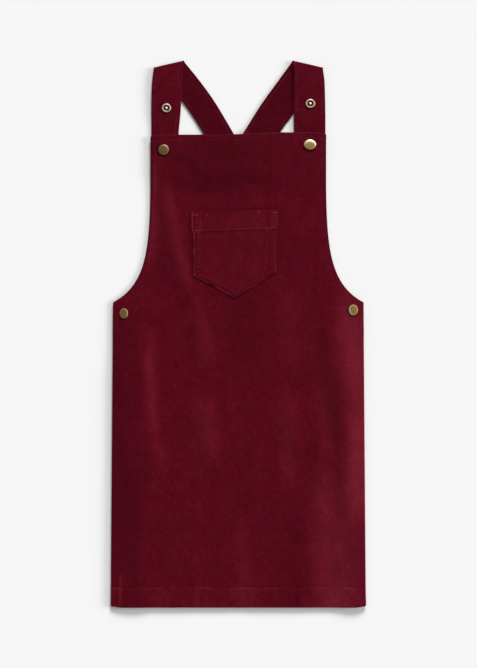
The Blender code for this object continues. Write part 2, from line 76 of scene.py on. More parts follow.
# Cross sections of the front, from the bib down. edge is the height of the outer face at the side,
# turn how steeply it leaves the side in degrees, crest the height that it reaches left or right further
# in, and crown the height in the middle.
FRONT_STATIONS = (
    Station(264, 3.9, 15, 5.5, 14, 14, 5.6),
    Station(240, 3.9, 15, 5.8, 16, 16, 5.9),
    Station(216, 3.8, 15, 5.6, 18, 18, 6.2),
    Station(204, 3.2, 15, 4.8, 20, 20, 6.1),
    Station(192, 2.6, 12, 4.0, 22, 22, 5.3),
    Station(178, 2.2, 12, 3.8, 24, 24, 4.6),
    Station(160, 2.0, 12, 4.6, 26, 26, 5.0),
    Station(130, 2.0, 12, 4.8, 26, 26, 5.2),
    Station(112, 2.0, 12, 4.2, 22, 22, 4.5),
    Station(90, 2.1, 12, 3.7, 18, 18, 3.9),
    Station(70, 2.3, 12, 3.5, 14, 14, 3.7),
    Station(56, 2.7, 12, 3.7, 14, 16, 3.7),
    Station(41, 3.0, 12, 4.0, 16, 22, 3.7),
    Station(20, 3.1, 20, 4.6, 22, 34, 3.7),
    Station(0, 3.2, 35, 5.6, 28, 40, 3.8),
    Station(-30, 3.3, 60, 7.0, 32, 36, 3.9),
    Station(-60, 3.3, 90, 8.1, 36, 30, 4.0),
    Station(-140, 3.3, 90, 8.5, 38, 24, 4.2),
    Station(-200, 3.3, 90, 8.3, 36, 22, 4.2),
    Station(-310, 3.3, 90, 7.7, 31, 19, 4.0),
    Station(-340, 3.3, 90, 7.1, 30, 18, 4.3),
    Station(-357, 3.3, 90, 6.5, 30, 18, 4.5),
)
EDGE_ROUND = 1.7        # radius on which a side is rolled, before a slope climbs to the crest
CREST_HANDLE = 0.65     # share of the way in to the crest after which the slope flattens
EDGE_SPACING = 1.7      # points lie closer together towards the side
SETTLE = 30.0           # from crest to crown
EDGE_CALM = 14.0        # folds fade out over this much before the side
ARC_POINTS = 24         # of the rolled side
CLIMB_POINTS = 40       # of the slope up to the crest

Fold = namedtuple("Fold", "top_x top_y mid_x mid_y low_x low_y height left right")
# Largest folds: a crest line through three points, its height, and how far it spreads to either side.
FOLDS = (
    Fold(-97, 206, -76, 90, -36, -36, 1.6, 13, 15),
    Fold(-122, 48, -121, -80, -96, -246, 2.0, 18, 11),
    Fold(-47, -70, -41, -125, -36, -190, 2.2, 13, 14),
    Fold(64, -66, 72, -115, 82, -178, 2.0, 12, 14),
    Fold(102, -84, 108, -190, 108, -300, 2.8, 13, 15),
    Fold(20, -130, 22, -180, 25, -240, 1.4, 13, 13),
    Fold(116, 46, 128, -50, 140, -160, 2.2, 16, 18),
    Fold(2, 226, 2, 200, 2, 162, 1.1, 17, 17),
)
FOLD_TAPER = 0.3        # share of a fold's length that fades out at either end

# Finer creases of the front, made like the folds. A height below zero is a trough.
CREASES = (
    Fold(70, -232, 76, -290, 76, -356, -0.6, 8, 5),
    Fold(90, -236, 94, -300, 92, -350, 0.5, 8, 10),
    Fold(-152, -300, -153.6, -330, -154, -356, 0.35, 2, 2),
    Fold(-70, 232, -66, 214, -58, 196, -0.7, 9, 9),
    Fold(-60, 44, -36, 22, -14, -6, 0.5, 8, 9),
    Fold(60, 40, 40, 20, 16, -10, 0.4, 9, 8),
    Fold(-140, 10, -128, -30, -120, -70, 0.4, 6, 8),
    Fold(-8, -262, -2, -300, 4, -340, 0.45, 9, 9),
    Fold(-64, -250, -60, -296, -52, -346, 0.5, 9, 10),
    Fold(126, -230, 130, -290, 134, -344, 0.5, 8, 8),
    Fold(-20, -40, -14, -84, -12, -126, 0.4, 8, 8),
    Fold(48, -190, 50, -240, 46, -292, 0.45, 8, 9),
)
# Soft troughs of the back, seen from below.
BACK_CREASES = (
    Fold(-84, 20, -70, -90, -62, -210, 0.55, 10, 12),
    Fold(34, 60, 46, -60, 52, -190, 0.60, 10, 12),
    Fold(96, -40, 90, -150, 98, -290, 0.50, 9, 11),
    Fold(-20, -120, -14, -220, -22, -330, 0.45, 10, 10),
    Fold(-124, -90, -118, -200, -112, -320, 0.40, 9, 10),
    Fold(8, 120, 2, 90, -6, 40, 0.35, 8, 8),
)

# Painted light and shade of the front: lighter where the height is above zero, darker where it is below
# it.
FRONT_PAINTED_LIGHT = (
    Fold(134, 80, 148, -20, 160, -170, 0.34, 15, 24),
    Fold(158, -90, 152, -175, 146, -262, 0.36, 16, 24),
    Fold(106, -140, 112, -250, 118, -420, 0.24, 15, 18),
    Fold(134, -215, 133, -310, 136, -430, 0.26, 12, 20),
    Fold(-22, 270, -22, 220, -22, 172, -0.26, 50, 70),
    Fold(-84, 240, -78, 224, -66, 204, -0.24, 12, 16),
    Fold(-46, 220, -48, 202, -50, 176, -0.18, 26, 26),
    Fold(12, 219, 14, 206, 14, 194, -0.20, 28, 20),
    Fold(-113, 245, -112, 160, -116, 70, 0.22, 7, 11),
    Fold(-94, 215, -81, 129, -60, 46, 0.17, 9, 9),
    Fold(-98, 120, -97, 95, -95, 60, -0.06, 9, 9),
    Fold(-90, 178, -64, 169, -20, 160, -0.08, 40, 40),
    Fold(-117, 30, -113, -80, -90, -225, 0.12, 9, 6),
    Fold(-140, 40, -136, 10, -132, -40, -0.12, 13, 11),
    Fold(-122, -150, -116, -230, -112, -330, -0.16, 10, 10),
    Fold(-114, -112, -109, -152, -105, -200, -0.13, 9, 8),
    Fold(-56, 44, -42, 0, -38, -50, 0.14, 13, 12),
    Fold(-58, -66, -42, -115, -30, -180, 0.12, 15, 14),
    Fold(-2, 86, 6, 8, 8, -66, -0.22, 28, 24),
    Fold(-10, 262, -10, 240, -10, 214, -0.14, 70, 60),
    Fold(60, -60, 64, -130, 66, -230, 0.15, 14, 12),
    Fold(112, 0, 117, -90, 118, -180, 0.12, 14, 14),
    Fold(-136, -140, -134, -270, -132, -410, -0.26, 16, 14),
    Fold(4, -230, 8, -300, 8, -420, 0.12, 11, 11),
    Fold(-152.5, -304, -153.5, -330, -154, -362, 0.32, 2, 2),
    Fold(152, -50, 156, -116, 156, -176, -0.13, 13, 12),
    Fold(44, -100, 45, -160, 46, -222, -0.09, 13, 11),
    Fold(62, 70, 66, 10, 62, -62, 0.08, 14, 18),
    Fold(-46, -90, -50, -145, -54, -200, 0.06, 12, 12),
    Fold(98, -190, 98, -250, 92, -310, 0.08, 10, 10),
    Fold(68, -180, 70, -270, 76, -430, -0.17, 17, 11),
    Fold(-166, 70, -160, -120, -158, -330, -0.22, 20, 20),
    Fold(75, -312, 77, -336, 78, -370, -0.34, 3, 2.5),
    Fold(-54, -318, -53, -342, -52, -372, 0.12, 3, 3),
)

# Edges that aren't straight
BIB_RISE = 3.0          # the bib's right half stands this much higher
BIB_RISE_START = -30.0
BIB_RISE_LENGTH = 90.0
BIB_CORNER = 2.5        # drop of the bib's corners
HEM_LIFT = 2.5          # rise of the hem's corners, where they round the side
CORNER = 16.0           # length of those corners
EDGE_BLEND = 58.0       # the rows fall back into line over this much

BandRow = namedtuple("BandRow", "start end steps")
FRONT_BANDS = (
    BandRow(BIB_Y, 246, 14), BandRow(246, 205, 22), BandRow(205, 75, 52), BandRow(75, UNDERARM_Y, 28),
    BandRow(UNDERARM_Y, FULL_TURN_Y, 40), BandRow(FULL_TURN_Y, -322, 100), BandRow(-322, -340, 20),
    BandRow(-340, HEM_Y, 8),
)
BACK_TOP_Y = 150.0
BACK_TOP_HALF = 82.0
BACK_INSET = 0.8        # the back's side and hem lie this much inside the front's
BACK_CLEAR = 0.15       # its thread, and not its cloth, touches the surface
BACK_ARMHOLE = ((BACK_TOP_HALF, BACK_TOP_Y), (86.0, 92.0), (118.0, 56.0))
BACK_EDGE_CALM = 4.0    # the back is even this far in from its sides
BACK_CALM_SPREAD = 12.0
BACK_BANDS = (
    BandRow(BACK_TOP_Y, 138, 12), BandRow(138, 75, 24), BandRow(75, UNDERARM_Y - BACK_INSET, 26),
    BandRow(UNDERARM_Y - BACK_INSET, SLIT_END_Y, 14), BandRow(SLIT_END_Y, FULL_TURN_Y, 16),
    BandRow(FULL_TURN_Y, -322, 64), BandRow(-322, -340, 18), BandRow(-340, HEM_Y + BACK_INSET, 6),
)
EDGE_STEPS = 26
BACK_EDGE_STEPS = 20
FRONT_MIDDLE_STEPS = 110
BACK_MIDDLE_STEPS = 90

# Chest pocket
POCKET_X = -4.5
POCKET_TOP_Y = 159.5
POCKET_BAND = 24.5      # turned and stitched band along the top
POCKET_TOP_HALF = 56.2
POCKET_HALF = 54.0
POCKET_CORNER_Y = 77.0
POCKET_TIP_Y = 46.5
POCKET_TURN = 0.5       # the band's extra thickness
POCKET_GAP = 0.35
POCKET_TILT = 0.034     # the pocket's right side sits higher
POCKET_NARROWING = 6.0  # it narrows and thins from its band to the rest over this much
POCKET_GAPE = 0.55      # how far its mouth stands open in the middle
POCKET_GAPE_DEPTH = 9.0
POCKET_COLUMNS = 72
POCKET_ROWS = 84

Section = namedtuple("Section", "outer_x outer_y inner_x inner_y under bow")
# Straps, from the end under the bib up to the fold, then from the fold down to the back panel. outer is
# the edge on the armhole side before the fold, and the same edge carries on after it. under is the
# height of the lower face, bow the rise of the strap's middle.
LEFT_FRONT_RUN = (
    Section(-112.8, 213.0, -79.0, 213.0, 0.0, 0.0),
    Section(-113.2, 259.8, -77.7, 259.8, 0.1, 0.3),
    Section(-113.2, 293.6, -74.5, 297.5, 1.9, 0.5),
    Section(-112.3, 327.4, -73.5, 333.9, 2.4, 0.5),
    Section(-110.6, 346.6, -70.6, 356.0, 2.3, 0.0),
)
LEFT_BACK_RUN = (
    Section(-110.6, 346.6, -70.6, 356.0, 0.0, 0.0),
    Section(-91.4, 323.5, -50.1, 329.1, 0.0, 0.0),
    Section(-74.1, 304.0, -32.5, 304.8, 0.0, 0.2),
    Section(-44.5, 259.7, -5.1, 259.2, 0.0, 0.2),
    Section(-17.5, 217.0, 20.0, 217.0, 0.0, 0.0),
    Section(7.0, 172.0, 48.0, 172.0, 0.0, 0.0),
    Section(18.5, 152.0, 60.0, 152.0, 1.5, 0.0),
    Section(31.0, 130.0, 73.0, 130.0, 1.5, 0.0),
)
RIGHT_FRONT_RUN = (
    Section(113.5, 219.5, 72.8, 219.5, 0.0, 0.0),
    Section(113.5, 259.8, 72.7, 261.0, 0.5, 0.3),
    Section(113.4, 279.0, 72.3, 281.0, 2.1, 0.4),
    Section(113.2, 295.6, 72.2, 298.8, 2.4, 0.4),
    Section(112.3, 327.4, 72.4, 333.9, 2.4, 0.5),
    Section(110.6, 346.6, 70.2, 356.0, 2.3, 0.0),
)
RIGHT_BACK_RUN = (
    Section(110.6, 346.6, 70.2, 356.0, 0.0, 0.0),
    Section(91.3, 315.7, 51.0, 328.1, 0.0, 0.0),
    Section(70.4, 285.0, 29.5, 298.3, 0.0, 0.0),
    Section(53.6, 261.2, 6.2, 261.2, 0.0, 0.0),
    Section(25.5, 217.0, -23.0, 217.0, 0.0, 0.0),
    Section(-3.0, 172.0, -50.5, 172.0, 0.0, 0.0),
    Section(-15.5, 152.0, -62.5, 152.0, 1.5, 0.0),
    Section(-28.5, 130.0, -75.5, 130.0, 1.5, 0.0),
)
STRAP_COLUMNS = 40
STRAP_STEPS = 16        # rows to each stretch of the tables above
FOLD_STEPS = 18
FOLD_AIR = 0.3          # between the two layers at the fold
FOLD_RADIUS = STRAP + FOLD_AIR / 2  # of its outside
CROSS_ROW = 3           # row of its table from which the lower strap runs straight to its end
CROSS_MARGIN = 4.0      # the upper strap is level this far beyond the lower one
CROSS_SPREAD = 15.0     # and comes down to the surface over this much

Crease = namedtuple("Crease", "run row across run_to across_to height width")
# Creases of the straps: from a row of a run's table and a share of the width to another such place.
CREASE_TAPER = (0.8125, 0.1875)     # a crease ends and is whole this far from its middle, in lengths
LEFT_STRAP_CREASES = (
    Crease("front", 2.1, 0.60, 2.5, 1.0, -0.35, 1.5),
    Crease("front", 3.2, 0.10, 3.6, 0.75, 0.22, 3.0),
    Crease("front", 1.3, 0.15, 1.7, 0.55, 0.20, 2.5),
    Crease("back", 1.6, 0.15, 1.9, 0.55, -0.40, 1.6),
    Crease("back", 2.1, 0.35, 2.3, 0.90, -0.35, 1.8),
    Crease("back", 1.2, 0.55, 1.5, 0.95, 0.25, 2.4),
)
RIGHT_STRAP_CREASES = (
    Crease("front", 2.6, 0.10, 2.8, 0.90, -0.35, 1.6),
    Crease("front", 4.0, 0.20, 3.5, 0.70, 0.25, 3.0),
    Crease("front", 1.4, 0.30, 1.7, 0.85, 0.20, 2.4),
    Crease("back", 1.4, 0.25, 1.8, 0.70, -0.30, 2.0),
    Crease("back", 2.2, 0.30, 2.5, 0.80, -0.30, 1.8),
)

Snap = namedtuple("Snap", "name x y wide tall wear rubbed dome")
# Where the snaps sit and how wide and tall their faces are, which setting has pressed a little oval.
# Then the share of the face that is painted bright as a highlight, the side on which that painted
# highlight starts, in degrees anticlockwise from +X, and how much a cap bulges.
BIB_SNAPS = (
    Snap("bib_snap_left", -97.1, 239.1, 14.6, 14.8, 0.0, 50, 0.9),
    Snap("bib_snap_right", 93.1, 245.8, 17.0, 14.2, 0.75, 88, 1.5),
)
SIDE_SNAPS = (
    Snap("side_snap_left", -148.9, 26.5, 11.8, 14.6, 0.15, 5, 0.7),
    Snap("side_snap_right", 149.5, 31.0, 13.0, 15.2, 0.4, 205, 0.85),
)
STRAP_SNAPS = (
    Snap("strap_snap_left", -93.5, 293.6, 12.6, 12.0, 0.7, 60, 1.0),
    Snap("strap_snap_right", 93.6, 299.3, 13.0, 12.0, 0.5, 200, 1.0),
)
SNAP_SIDES = 64
PROFILE_STEPS = 4
POST = 1.8              # radius of the post through the cloth
SOCKET = 4.6            # radius of the part behind the cloth
SOCKET_AIR = 0.3        # between a bib or side snap and the layer under it
FLANGE = 0.8            # thickness of a strap snap's back
PRESS_DEPTH = 0.35      # how far a snap pulls the cloth down round it
PRESS_REACH = 8.0
CAP_BASE = GAP + 0.5
# A cap's face from its middle outwards: shares of its half width and of its dome.
CAP_FACE = ((0.0, 1.5), (0.38, 1.46), (0.72, 1.32), (0.87, 1.02), (0.95, 0.62))
CAP_RIM = ((0.99, GAP + 0.75), (1.0, CAP_BASE), (0.94, GAP))
# A stud's nub in millimetres, and its recess and ring in shares of its half width, with their heights.
STUD_MIDDLE = (
    (0.0, GAP + 1.6), (0.8, GAP + 1.55), (1.4, GAP + 1.3), (1.7, GAP + 0.8), (1.9, GAP + 0.35),
)
STUD_RIM = (
    (0.54, GAP + 0.3), (0.61, GAP + 0.5), (0.65, GAP + 1.1), (0.71, GAP + 1.38), (0.82, GAP + 1.4),
    (0.93, GAP + 1.1), (1.0, GAP + 0.6), (0.96, GAP),
)

# Unevenness
NOISE_CELLS = 64
Noise = namedtuple("Noise", "size seed")
BIB_PUCKERS = Noise(19.0, 7)        # how puckers stray
HEM_PUCKERS = Noise(19.0, 9)
SIDE_PUCKERS = Noise(19.0, 5)
POCKET_STRAY = Noise(14.0, 31)
STRAP_STRAY = Noise(17.0, 41)
STITCH_WAVER = Noise(8.0, 61)       # how deep the thread is pulled in
Share = namedtuple("Share", "least usual most swing size seed")
# Shares that wander over the sheet, within their limits, as noise of a size and seed swings them.
HEM_WAVER = Share(0.1, 0.6, 1.4, 1.0, 24.0, 4)          # of the hem's relief
HEM_WEAR_AND_HIGHLIGHT = Share(0.0, 0.5, 1.5, 1.0, 7.0, 51)           # of its wear and painted highlight
POCKET_WAVER = Share(0.0, 0.5, 1.3, 1.1, 8.0, 32)       # of the pocket's puckers
POCKET_WEAR_AND_HIGHLIGHT = Share(0.0, 0.6, 1.1, 1.0, 9.0, 34)        # of its wear and painted highlight
Uneven = namedtuple("Uneven", "height along size seed")
# The cloth's own unevenness: its height, and how much it is drawn out along the ribs. The back's is
# added to its height, so that none of it goes below the surface.
FRONT_UNEVEN = (Uneven(0.16, 0.45, 17.0, 11), Uneven(0.20, 0.5, 38.0, 12))
BACK_UNEVEN = (Uneven(0.12, 0.5, 30.0, 21),)
POCKET_UNEVEN = (Uneven(0.14, 0.6, 13.0, 33),)
STRAP_UNEVEN = (Uneven(0.13, 1.0, 15.0, 43),)
FRONT_EVEN_EDGE = 6.0       # unevenness fades out over this much before an edge
STRAP_EVEN_EDGE = 5.0
STRAP_LATTICE = 40.0        # a strap's width on its noise, whatever its real one

# Sewing
# A mark in the cloth or its nap follows a line: its strength, how far from that line it lies, its width.
Mark = namedtuple("Mark", "strength at width")
STITCH_PITCH = 3.1
STITCH_LENGTH = 2.5
THREAD = 0.24           # radius of the thread
THREAD_SIDES = 6
# How deep the thread lies in the nap, at the bib, the hem and the two armholes
FRONT_STITCH_DEPTHS = (0.18, 0.34, 0.34, 0.26)
STRAP_STITCH_DEPTH = 0.30
STRAND_SHIFT = 0.1      # shifts the thread's grain from stitch to stitch
ROW_END = 1.0           # a row of stitches stops this far before the edge
HEM_ROW_END = 1.5
ARMHOLE_ROW_END = 2.0
ARMHOLE_POINTS = 300
LEAN_STEP = 0.1         # over which the armhole's lean is measured, up and down
SLIT_POINTS = 40
EDGE_STITCH = 6.5       # from the armhole's edge
BIB_STITCH = 7.0        # from the bib's top edge
HEM_DEPTH = 25.0
TURNING_RISE = 0.35     # how much a turned and stitched edge stands up
GROOVE_DEPTH = 0.22     # how deep a row of stitches sinks in
GROOVE_HALF = 0.9
TURNING_SLOPE = 1.6     # over which a turning's inner edge comes down
SLIT_FADE = 12.0        # the side's turning fades in over this much above the slit's foot
PUCKER = 0.13
PUCKER_PITCH = 11.0
PUCKER_REACH = 0.6      # as a share of the turning's width
PUCKER_STRAY = 2.2      # how far the crests stray, in radians
TIGHT_PUCKER_STRAY = 2.0    # the same, on the pocket and the straps
SIDE_STEP = 40.0        # the two sides' puckers differ by this shift along them
SNAP_CREASES = 7        # how many small creases a snap has round it
SNAP_CREASE = Mark(0.12, 2.5, 2.6)
POCKET_PUCKER = 0.26
POCKET_PUCKER_PITCH = 5.6
POCKET_PUCKER_SLANT = 0.3
POCKET_PUCKERS = Mark(1.0, 5.2, 3.0)    # between its two rows of stitches
LEFT_PUCKERS = (0.0, -30.0)             # they fade in to the left
RIGHT_PUCKERS = Mark(0.5, 110.0, 22.0)  # and on the right show about one height alone
POCKET_BORDER = 0.30        # rise of its turned border
POCKET_EDGE_PRESS = 0.75    # how much its edge stitching presses the pocket's edges down
POCKET_PRESS_WIDTH = 3.0
POCKET_EDGE_STITCH = 2.0
POCKET_INNER_STITCH = 8.5
POCKET_STITCH_DEPTHS = (0.30, 0.36)     # how deep the thread of these two rows lies
POCKET_GROOVES = (Mark(-0.22, POCKET_EDGE_STITCH, 0.8), Mark(-0.22, POCKET_INNER_STITCH, 0.8))
POCKET_BORDER_END = (POCKET_INNER_STITCH + 1.0, POCKET_INNER_STITCH - 1.0)
POCKET_BAND_STITCH = POCKET_TOP_Y - POCKET_BAND + 1.2
POCKET_BAND_GROOVE = Mark(-0.25, POCKET_BAND_STITCH, 0.9)
POCKET_ROW_END = 0.8
POCKET_STEP = (2.0, -4.0)   # its rows step in between these heights from the band's foot
BAR_TACK_Y = POCKET_TOP_Y - 4.5
BAR_TACK_ROWS = 4
BAR_TACK_PITCH = 0.45
BAR_TACK_PAST = 1.0         # beyond the inner row
STRAP_STITCH = 4.6
STRAP_PUCKER = Mark(0.09, STRAP_STITCH, 4.0)
STRAP_PUCKER_PITCH = 9.5
STRAP_GROOVE = Mark(-0.20, STRAP_STITCH, 0.9)
STRAP_BOX = 4.0         # from a strap's edge to the box that sews its end to the back
STRAP_BOX_DROP = 8.0    # from the back's top edge down to that box
STRAP_HIDDEN_Y = 235.0  # below this a strap's inner face lies out of sight

# Painted light and shade along edges and seams. A pair of values says where a mark fades in, or ends,
# and where it is whole.
EDGE_LIGHT_AND_SHADE = 0.22  # painted highlight along an edge that is folded in, which catches the light
# Painted highlights and shade of the front, in shares of that: marks by distance from an edge, the hem's
# seam or the pocket.
BIB_FOLD = Mark(1.0, 0.0, 1.3)
BIB_SEAM = Mark(0.6, BIB_STITCH, 0.9)
SIDE_FOLD = Mark(0.5, 0.0, 1.6)
ARMHOLE_SHADE = Mark(-1.6, 0.8, 1.4)
ARMHOLE_FADE = (UNDERARM_Y, UNDERARM_Y + 20.0)
HEM_TURNING_LIGHT = 0.3           # painted light over its turning
HEM_FADE = (0.0, -3.0)
HEM_SEAM = Mark(0.8, 0.0, 1.6)
HEM_DARK_BELOW = 0.1875     # where the seam's share of wear and painted highlight is less than this, it is painted dark
POCKET_SHADE = Mark(-0.9, -2.4, 2.2)
POCKET_SHADE_TOP = (POCKET_TOP_Y, POCKET_TOP_Y - 4.0)
POCKET_SHADE_FOOT = (POCKET_CORNER_Y, POCKET_CORNER_Y + 8.0)
FOOT_SHADE = 0.1        # share of it that is left along the foot
MOUTH_SHADE = Mark(-1.5, 2.0, 1.8)
MOUTH_SHADE_X = 8.0
MOUTH_SHADE_ENDS = (POCKET_TOP_HALF - 6.0, POCKET_TOP_HALF - 14.0)
# Painted light and shade of the pocket: marks by distance in from its edge or mouth, from its band's
# seam, across it or up it.
POCKET_LIGHTER = 0.05
POCKET_FOLD = Mark(1.0, 0.6, 0.9)
LEFT_EDGE_LIGHT_AND_WEAR = 0.95    # painted highlight along its left side and foot, where wear shows most too
# painted shade along its right side
RIGHT_EDGE_SHADE = -0.20
POCKET_LEFT = (20.0, -20.0)
# painted highlights on its foot, by place across it, and on its right side, by height
FOOT_HIGHLIGHT = Mark(0.35, 26.0, 9.0)
SIDE_HIGHLIGHT = Mark(0.30, 84.0, 8.0)
MOUTH_FOLD = Mark(1.0, 0.4, 1.0)
# its mouth's edge is painted dark, with a painted highlight right of the middle
MOUTH_EDGE_SHADE = -0.12
MOUTH_HIGHLIGHT = Mark(0.16, 22.0, 18.0)
# a painted light line along the band's seam, with painted shade below it
BAND_SEAM = Mark(0.36, 0.0, 1.0)
BAND_SEAM_X = -2.0
BAND_SEAM_ENDS = (26.0, 42.0)
BAND_SEAM_MIDDLE = 0.3  # share of the seam's mark that is left in its middle
BAND_SHADE = Mark(-0.30, -3.0, 1.5)
# painted shade along and beside the inner row of stitches
INNER_SEAM = Mark(-0.14, POCKET_INNER_STITCH, 1.0)
INNER_SHADE = Mark(-0.10, 3.2, 1.3)
POCKET_TURNING_X = 44.4     # end of the turning inside the band, marked by a painted light line and a painted dark line
TURNING_LIGHT = Mark(0.12, -POCKET_TURNING_X, 1.3)
TURNING_DARK = Mark(-0.20, POCKET_TURNING_X - 2.0, 1.2)
TURNING_DARK_X = 1.5
# painted light over the band beyond the turning
FLAP_LIGHT = 0.10
FLAP_FADE = (POCKET_TURNING_X, POCKET_TURNING_X + 3.0)
# painted light on the puckers' crests and painted shade between them
PUCKER_LIGHT_AND_SHADE = 0.18
BAND_PUCKER_SHARE = 0.4   # share of it in the band
# small light spots near the pocket's corners
LIGHT_SPOT = Mark(0.5, 0.0, 1.3)
LIGHT_SPOTS = (
    (-54.5, 156.5), (-37.0, 155.5), (31.0, 157.5), (42.0, 134.5), (-54.0, 133.0), (-52.5, 79.5),
)
STRAP_BACK_SHADE = -0.40  # painted shade on the straps' back runs, whose inner face shows
STRAP_BACK_REACH = (77.0, 74.0)
STRAP_INNER_LOW = (0.9, 1.5)
STRAP_INNER_HIGH = (2.9, 2.3)

# Cord finish
WALE = 1.25             # from rib to rib
CORD_RELIEF = 0.00030   # metres, as the other reliefs are
THREAD_RELIEF = 0.00006
CAP_RELIEF = 0.00005
STUD_RELIEF = 0.00004
GRAIN = "grain"         # name of the map that runs along the ribs, in millimetres
PAINTED_TONE = "nap"             # name of the points' values of painted light and shade, and on a snap of its share of painted highlight


def smooth(t):
    t = np.clip(t, 0.0, 1.0)
    return t * t * (3.0 - 2.0 * t)


def between(value, start, end):
    """0 before start, 1 past end, and smooth between them. The end may be the smaller one."""
    return smooth((value - start) / (end - start))


def curve_through(places, values, at):
    """Value at each place of the smooth curve through a table's rows, with no overshoot between them."""
    places = np.asarray(places, float)
    values = np.asarray(values, float)
    if places[0] > places[-1]:
        places = places[::-1]
        values = values[::-1]
    slopes = np.diff(values) / np.diff(places)
    tangents = np.zeros(len(values))
    same_way = slopes[1:] * slopes[:-1] > 0
    tangents[1:-1][same_way] = 2.0 / (1.0 / slopes[1:][same_way] + 1.0 / slopes[:-1][same_way])
    tangents[0] = slopes[0]
    tangents[-1] = slopes[-1]
    at = np.clip(at, places[0], places[-1])
    k = np.clip(np.searchsorted(places, at, side="right") - 1, 0, len(slopes) - 1)
    width = places[k + 1] - places[k]
    t = (at - places[k]) / width
    return (values[k] * (1 + 2 * t) * (1 - t) ** 2 + values[k + 1] * t * t * (3 - 2 * t)
            + tangents[k] * width * t * (1 - t) ** 2 - tangents[k + 1] * width * t * t * (1 - t))


def bezier(points, t):
    a, b, c, d = (np.asarray(p, float) for p in points)
    t = np.asarray(t, float)[..., None]
    return (1 - t) ** 3 * a + 3 * (1 - t) ** 2 * t * b + 3 * (1 - t) * t * t * c + t ** 3 * d


def unit(vectors):
    return vectors / np.maximum(np.linalg.norm(vectors, axis=-1)[..., None], 1e-9)


def line_length(points):
    """Length of a line of points up to each of them."""
    return np.concatenate([[0.0], np.cumsum(np.linalg.norm(np.diff(points, axis=0), axis=-1))])


def ridge(distance, reach):
    """Height of a soft ridge, 1 on its crest, at a distance from it."""
    return np.exp(-(distance / reach) ** 2)


def mark(row, distance):
    """What a mark adds at a distance from the line that it follows."""
    return row.strength * ridge(distance - row.at, row.width)


def slow_noise(x, y, noise):
    """Smooth seeded bumps of a noise's size over a sheet, from -1 to 1."""
    lattice = np.random.default_rng(noise.seed).uniform(-1, 1, (NOISE_CELLS, NOISE_CELLS))
    u = np.asarray(x, float) / noise.size + NOISE_CELLS / 2
    v = np.asarray(y, float) / noise.size + NOISE_CELLS / 2
    i = np.floor(u).astype(int)
    j = np.floor(v).astype(int)
    a = smooth(u - i)
    b = smooth(v - j)
    at = [[lattice[(i + p) % NOISE_CELLS, (j + q) % NOISE_CELLS] for q in (0, 1)] for p in (0, 1)]
    low = at[0][0] * (1 - a) + at[1][0] * a
    high = at[0][1] * (1 - a) + at[1][1] * a
    return low * (1 - b) + high * b


def unevenness(rows, x, y):
    """Height that a table of unevenness adds at each place."""
    return sum(row.height * slow_noise(x, row.along * y, row) for row in rows)


def wandering(row, x, y):
    """A share at each place of the sheet, from its row."""
    return np.clip(row.usual + row.swing * slow_noise(x, y, row), row.least, row.most)


def waves(along, pitch, wander):
    """Even waves with crests this far apart, moved along by wander."""
    return np.sin(2 * math.pi * along / pitch + wander)


# Outline and form of the front

def armhole_half(y, curve):
    """Half width at a height of an armhole, whose curve ends in the underarm corner."""
    points = bezier(curve + ((CHEST_HALF, UNDERARM_Y),), np.linspace(0, 1, CURVE_POINTS))
    return np.interp(y, points[::-1, 1], points[::-1, 0])


def side_half(y):
    """Half width of the skirt, flaring from the underarm to the hem."""
    return CHEST_HALF + (HEM_HALF - CHEST_HALF) * (UNDERARM_Y - y) / (UNDERARM_Y - HEM_Y)


def front_half(y):
    y = np.asarray(y, float)
    return np.where(y < UNDERARM_Y, side_half(y), armhole_half(y, FRONT_ARMHOLE))


def back_half(y):
    y = np.asarray(y, float)
    armhole = armhole_half(y, BACK_ARMHOLE)
    return np.where(y < UNDERARM_Y - BACK_INSET, side_half(y), armhole) - BACK_INSET


def from_side(half_at, x, y):
    """Distance in from the side of a panel whose half width is half_at(y)."""
    lean = half_at(y + 0.5) - half_at(y - 0.5)
    return (half_at(y) - abs(x)) / np.hypot(1.0, lean)


def fold_heights(folds, x, y):
    """Height that a table of folds adds at each place."""
    total = np.zeros(np.broadcast(x, y).shape)
    for fold in folds:
        ys = (fold.top_y, fold.mid_y, fold.low_y)
        along = (fold.top_y - y) / (fold.top_y - fold.low_y)
        ends = smooth(along / FOLD_TAPER) * smooth((1.0 - along) / FOLD_TAPER)
        offset = x - curve_through(ys, (fold.top_x, fold.mid_x, fold.low_x), y)
        total = total + fold.height * ends * ridge(offset, np.where(offset < 0, fold.left, fold.right))
    return total


def calm_folds(x, y):
    """Height of the front's folds at each place, fading out towards its sides."""
    return fold_heights(FOLDS, x, y) * smooth((front_half(y) - abs(x)) / EDGE_CALM)


def front_station(y):
    ys = [row.y for row in FRONT_STATIONS]
    return Station(y, *(curve_through(ys, [row[k] for row in FRONT_STATIONS], y) for k in range(1, 7)))


def front_height(x, y):
    """Height of the front's outer face, away from its rolled sides."""
    row = front_station(y)
    inside = front_half(y) - np.where(x < 0, row.left, row.right) - abs(x)
    return row.crown + (row.crest - row.crown) * (1 - smooth(inside / SETTLE)) + calm_folds(x, y)


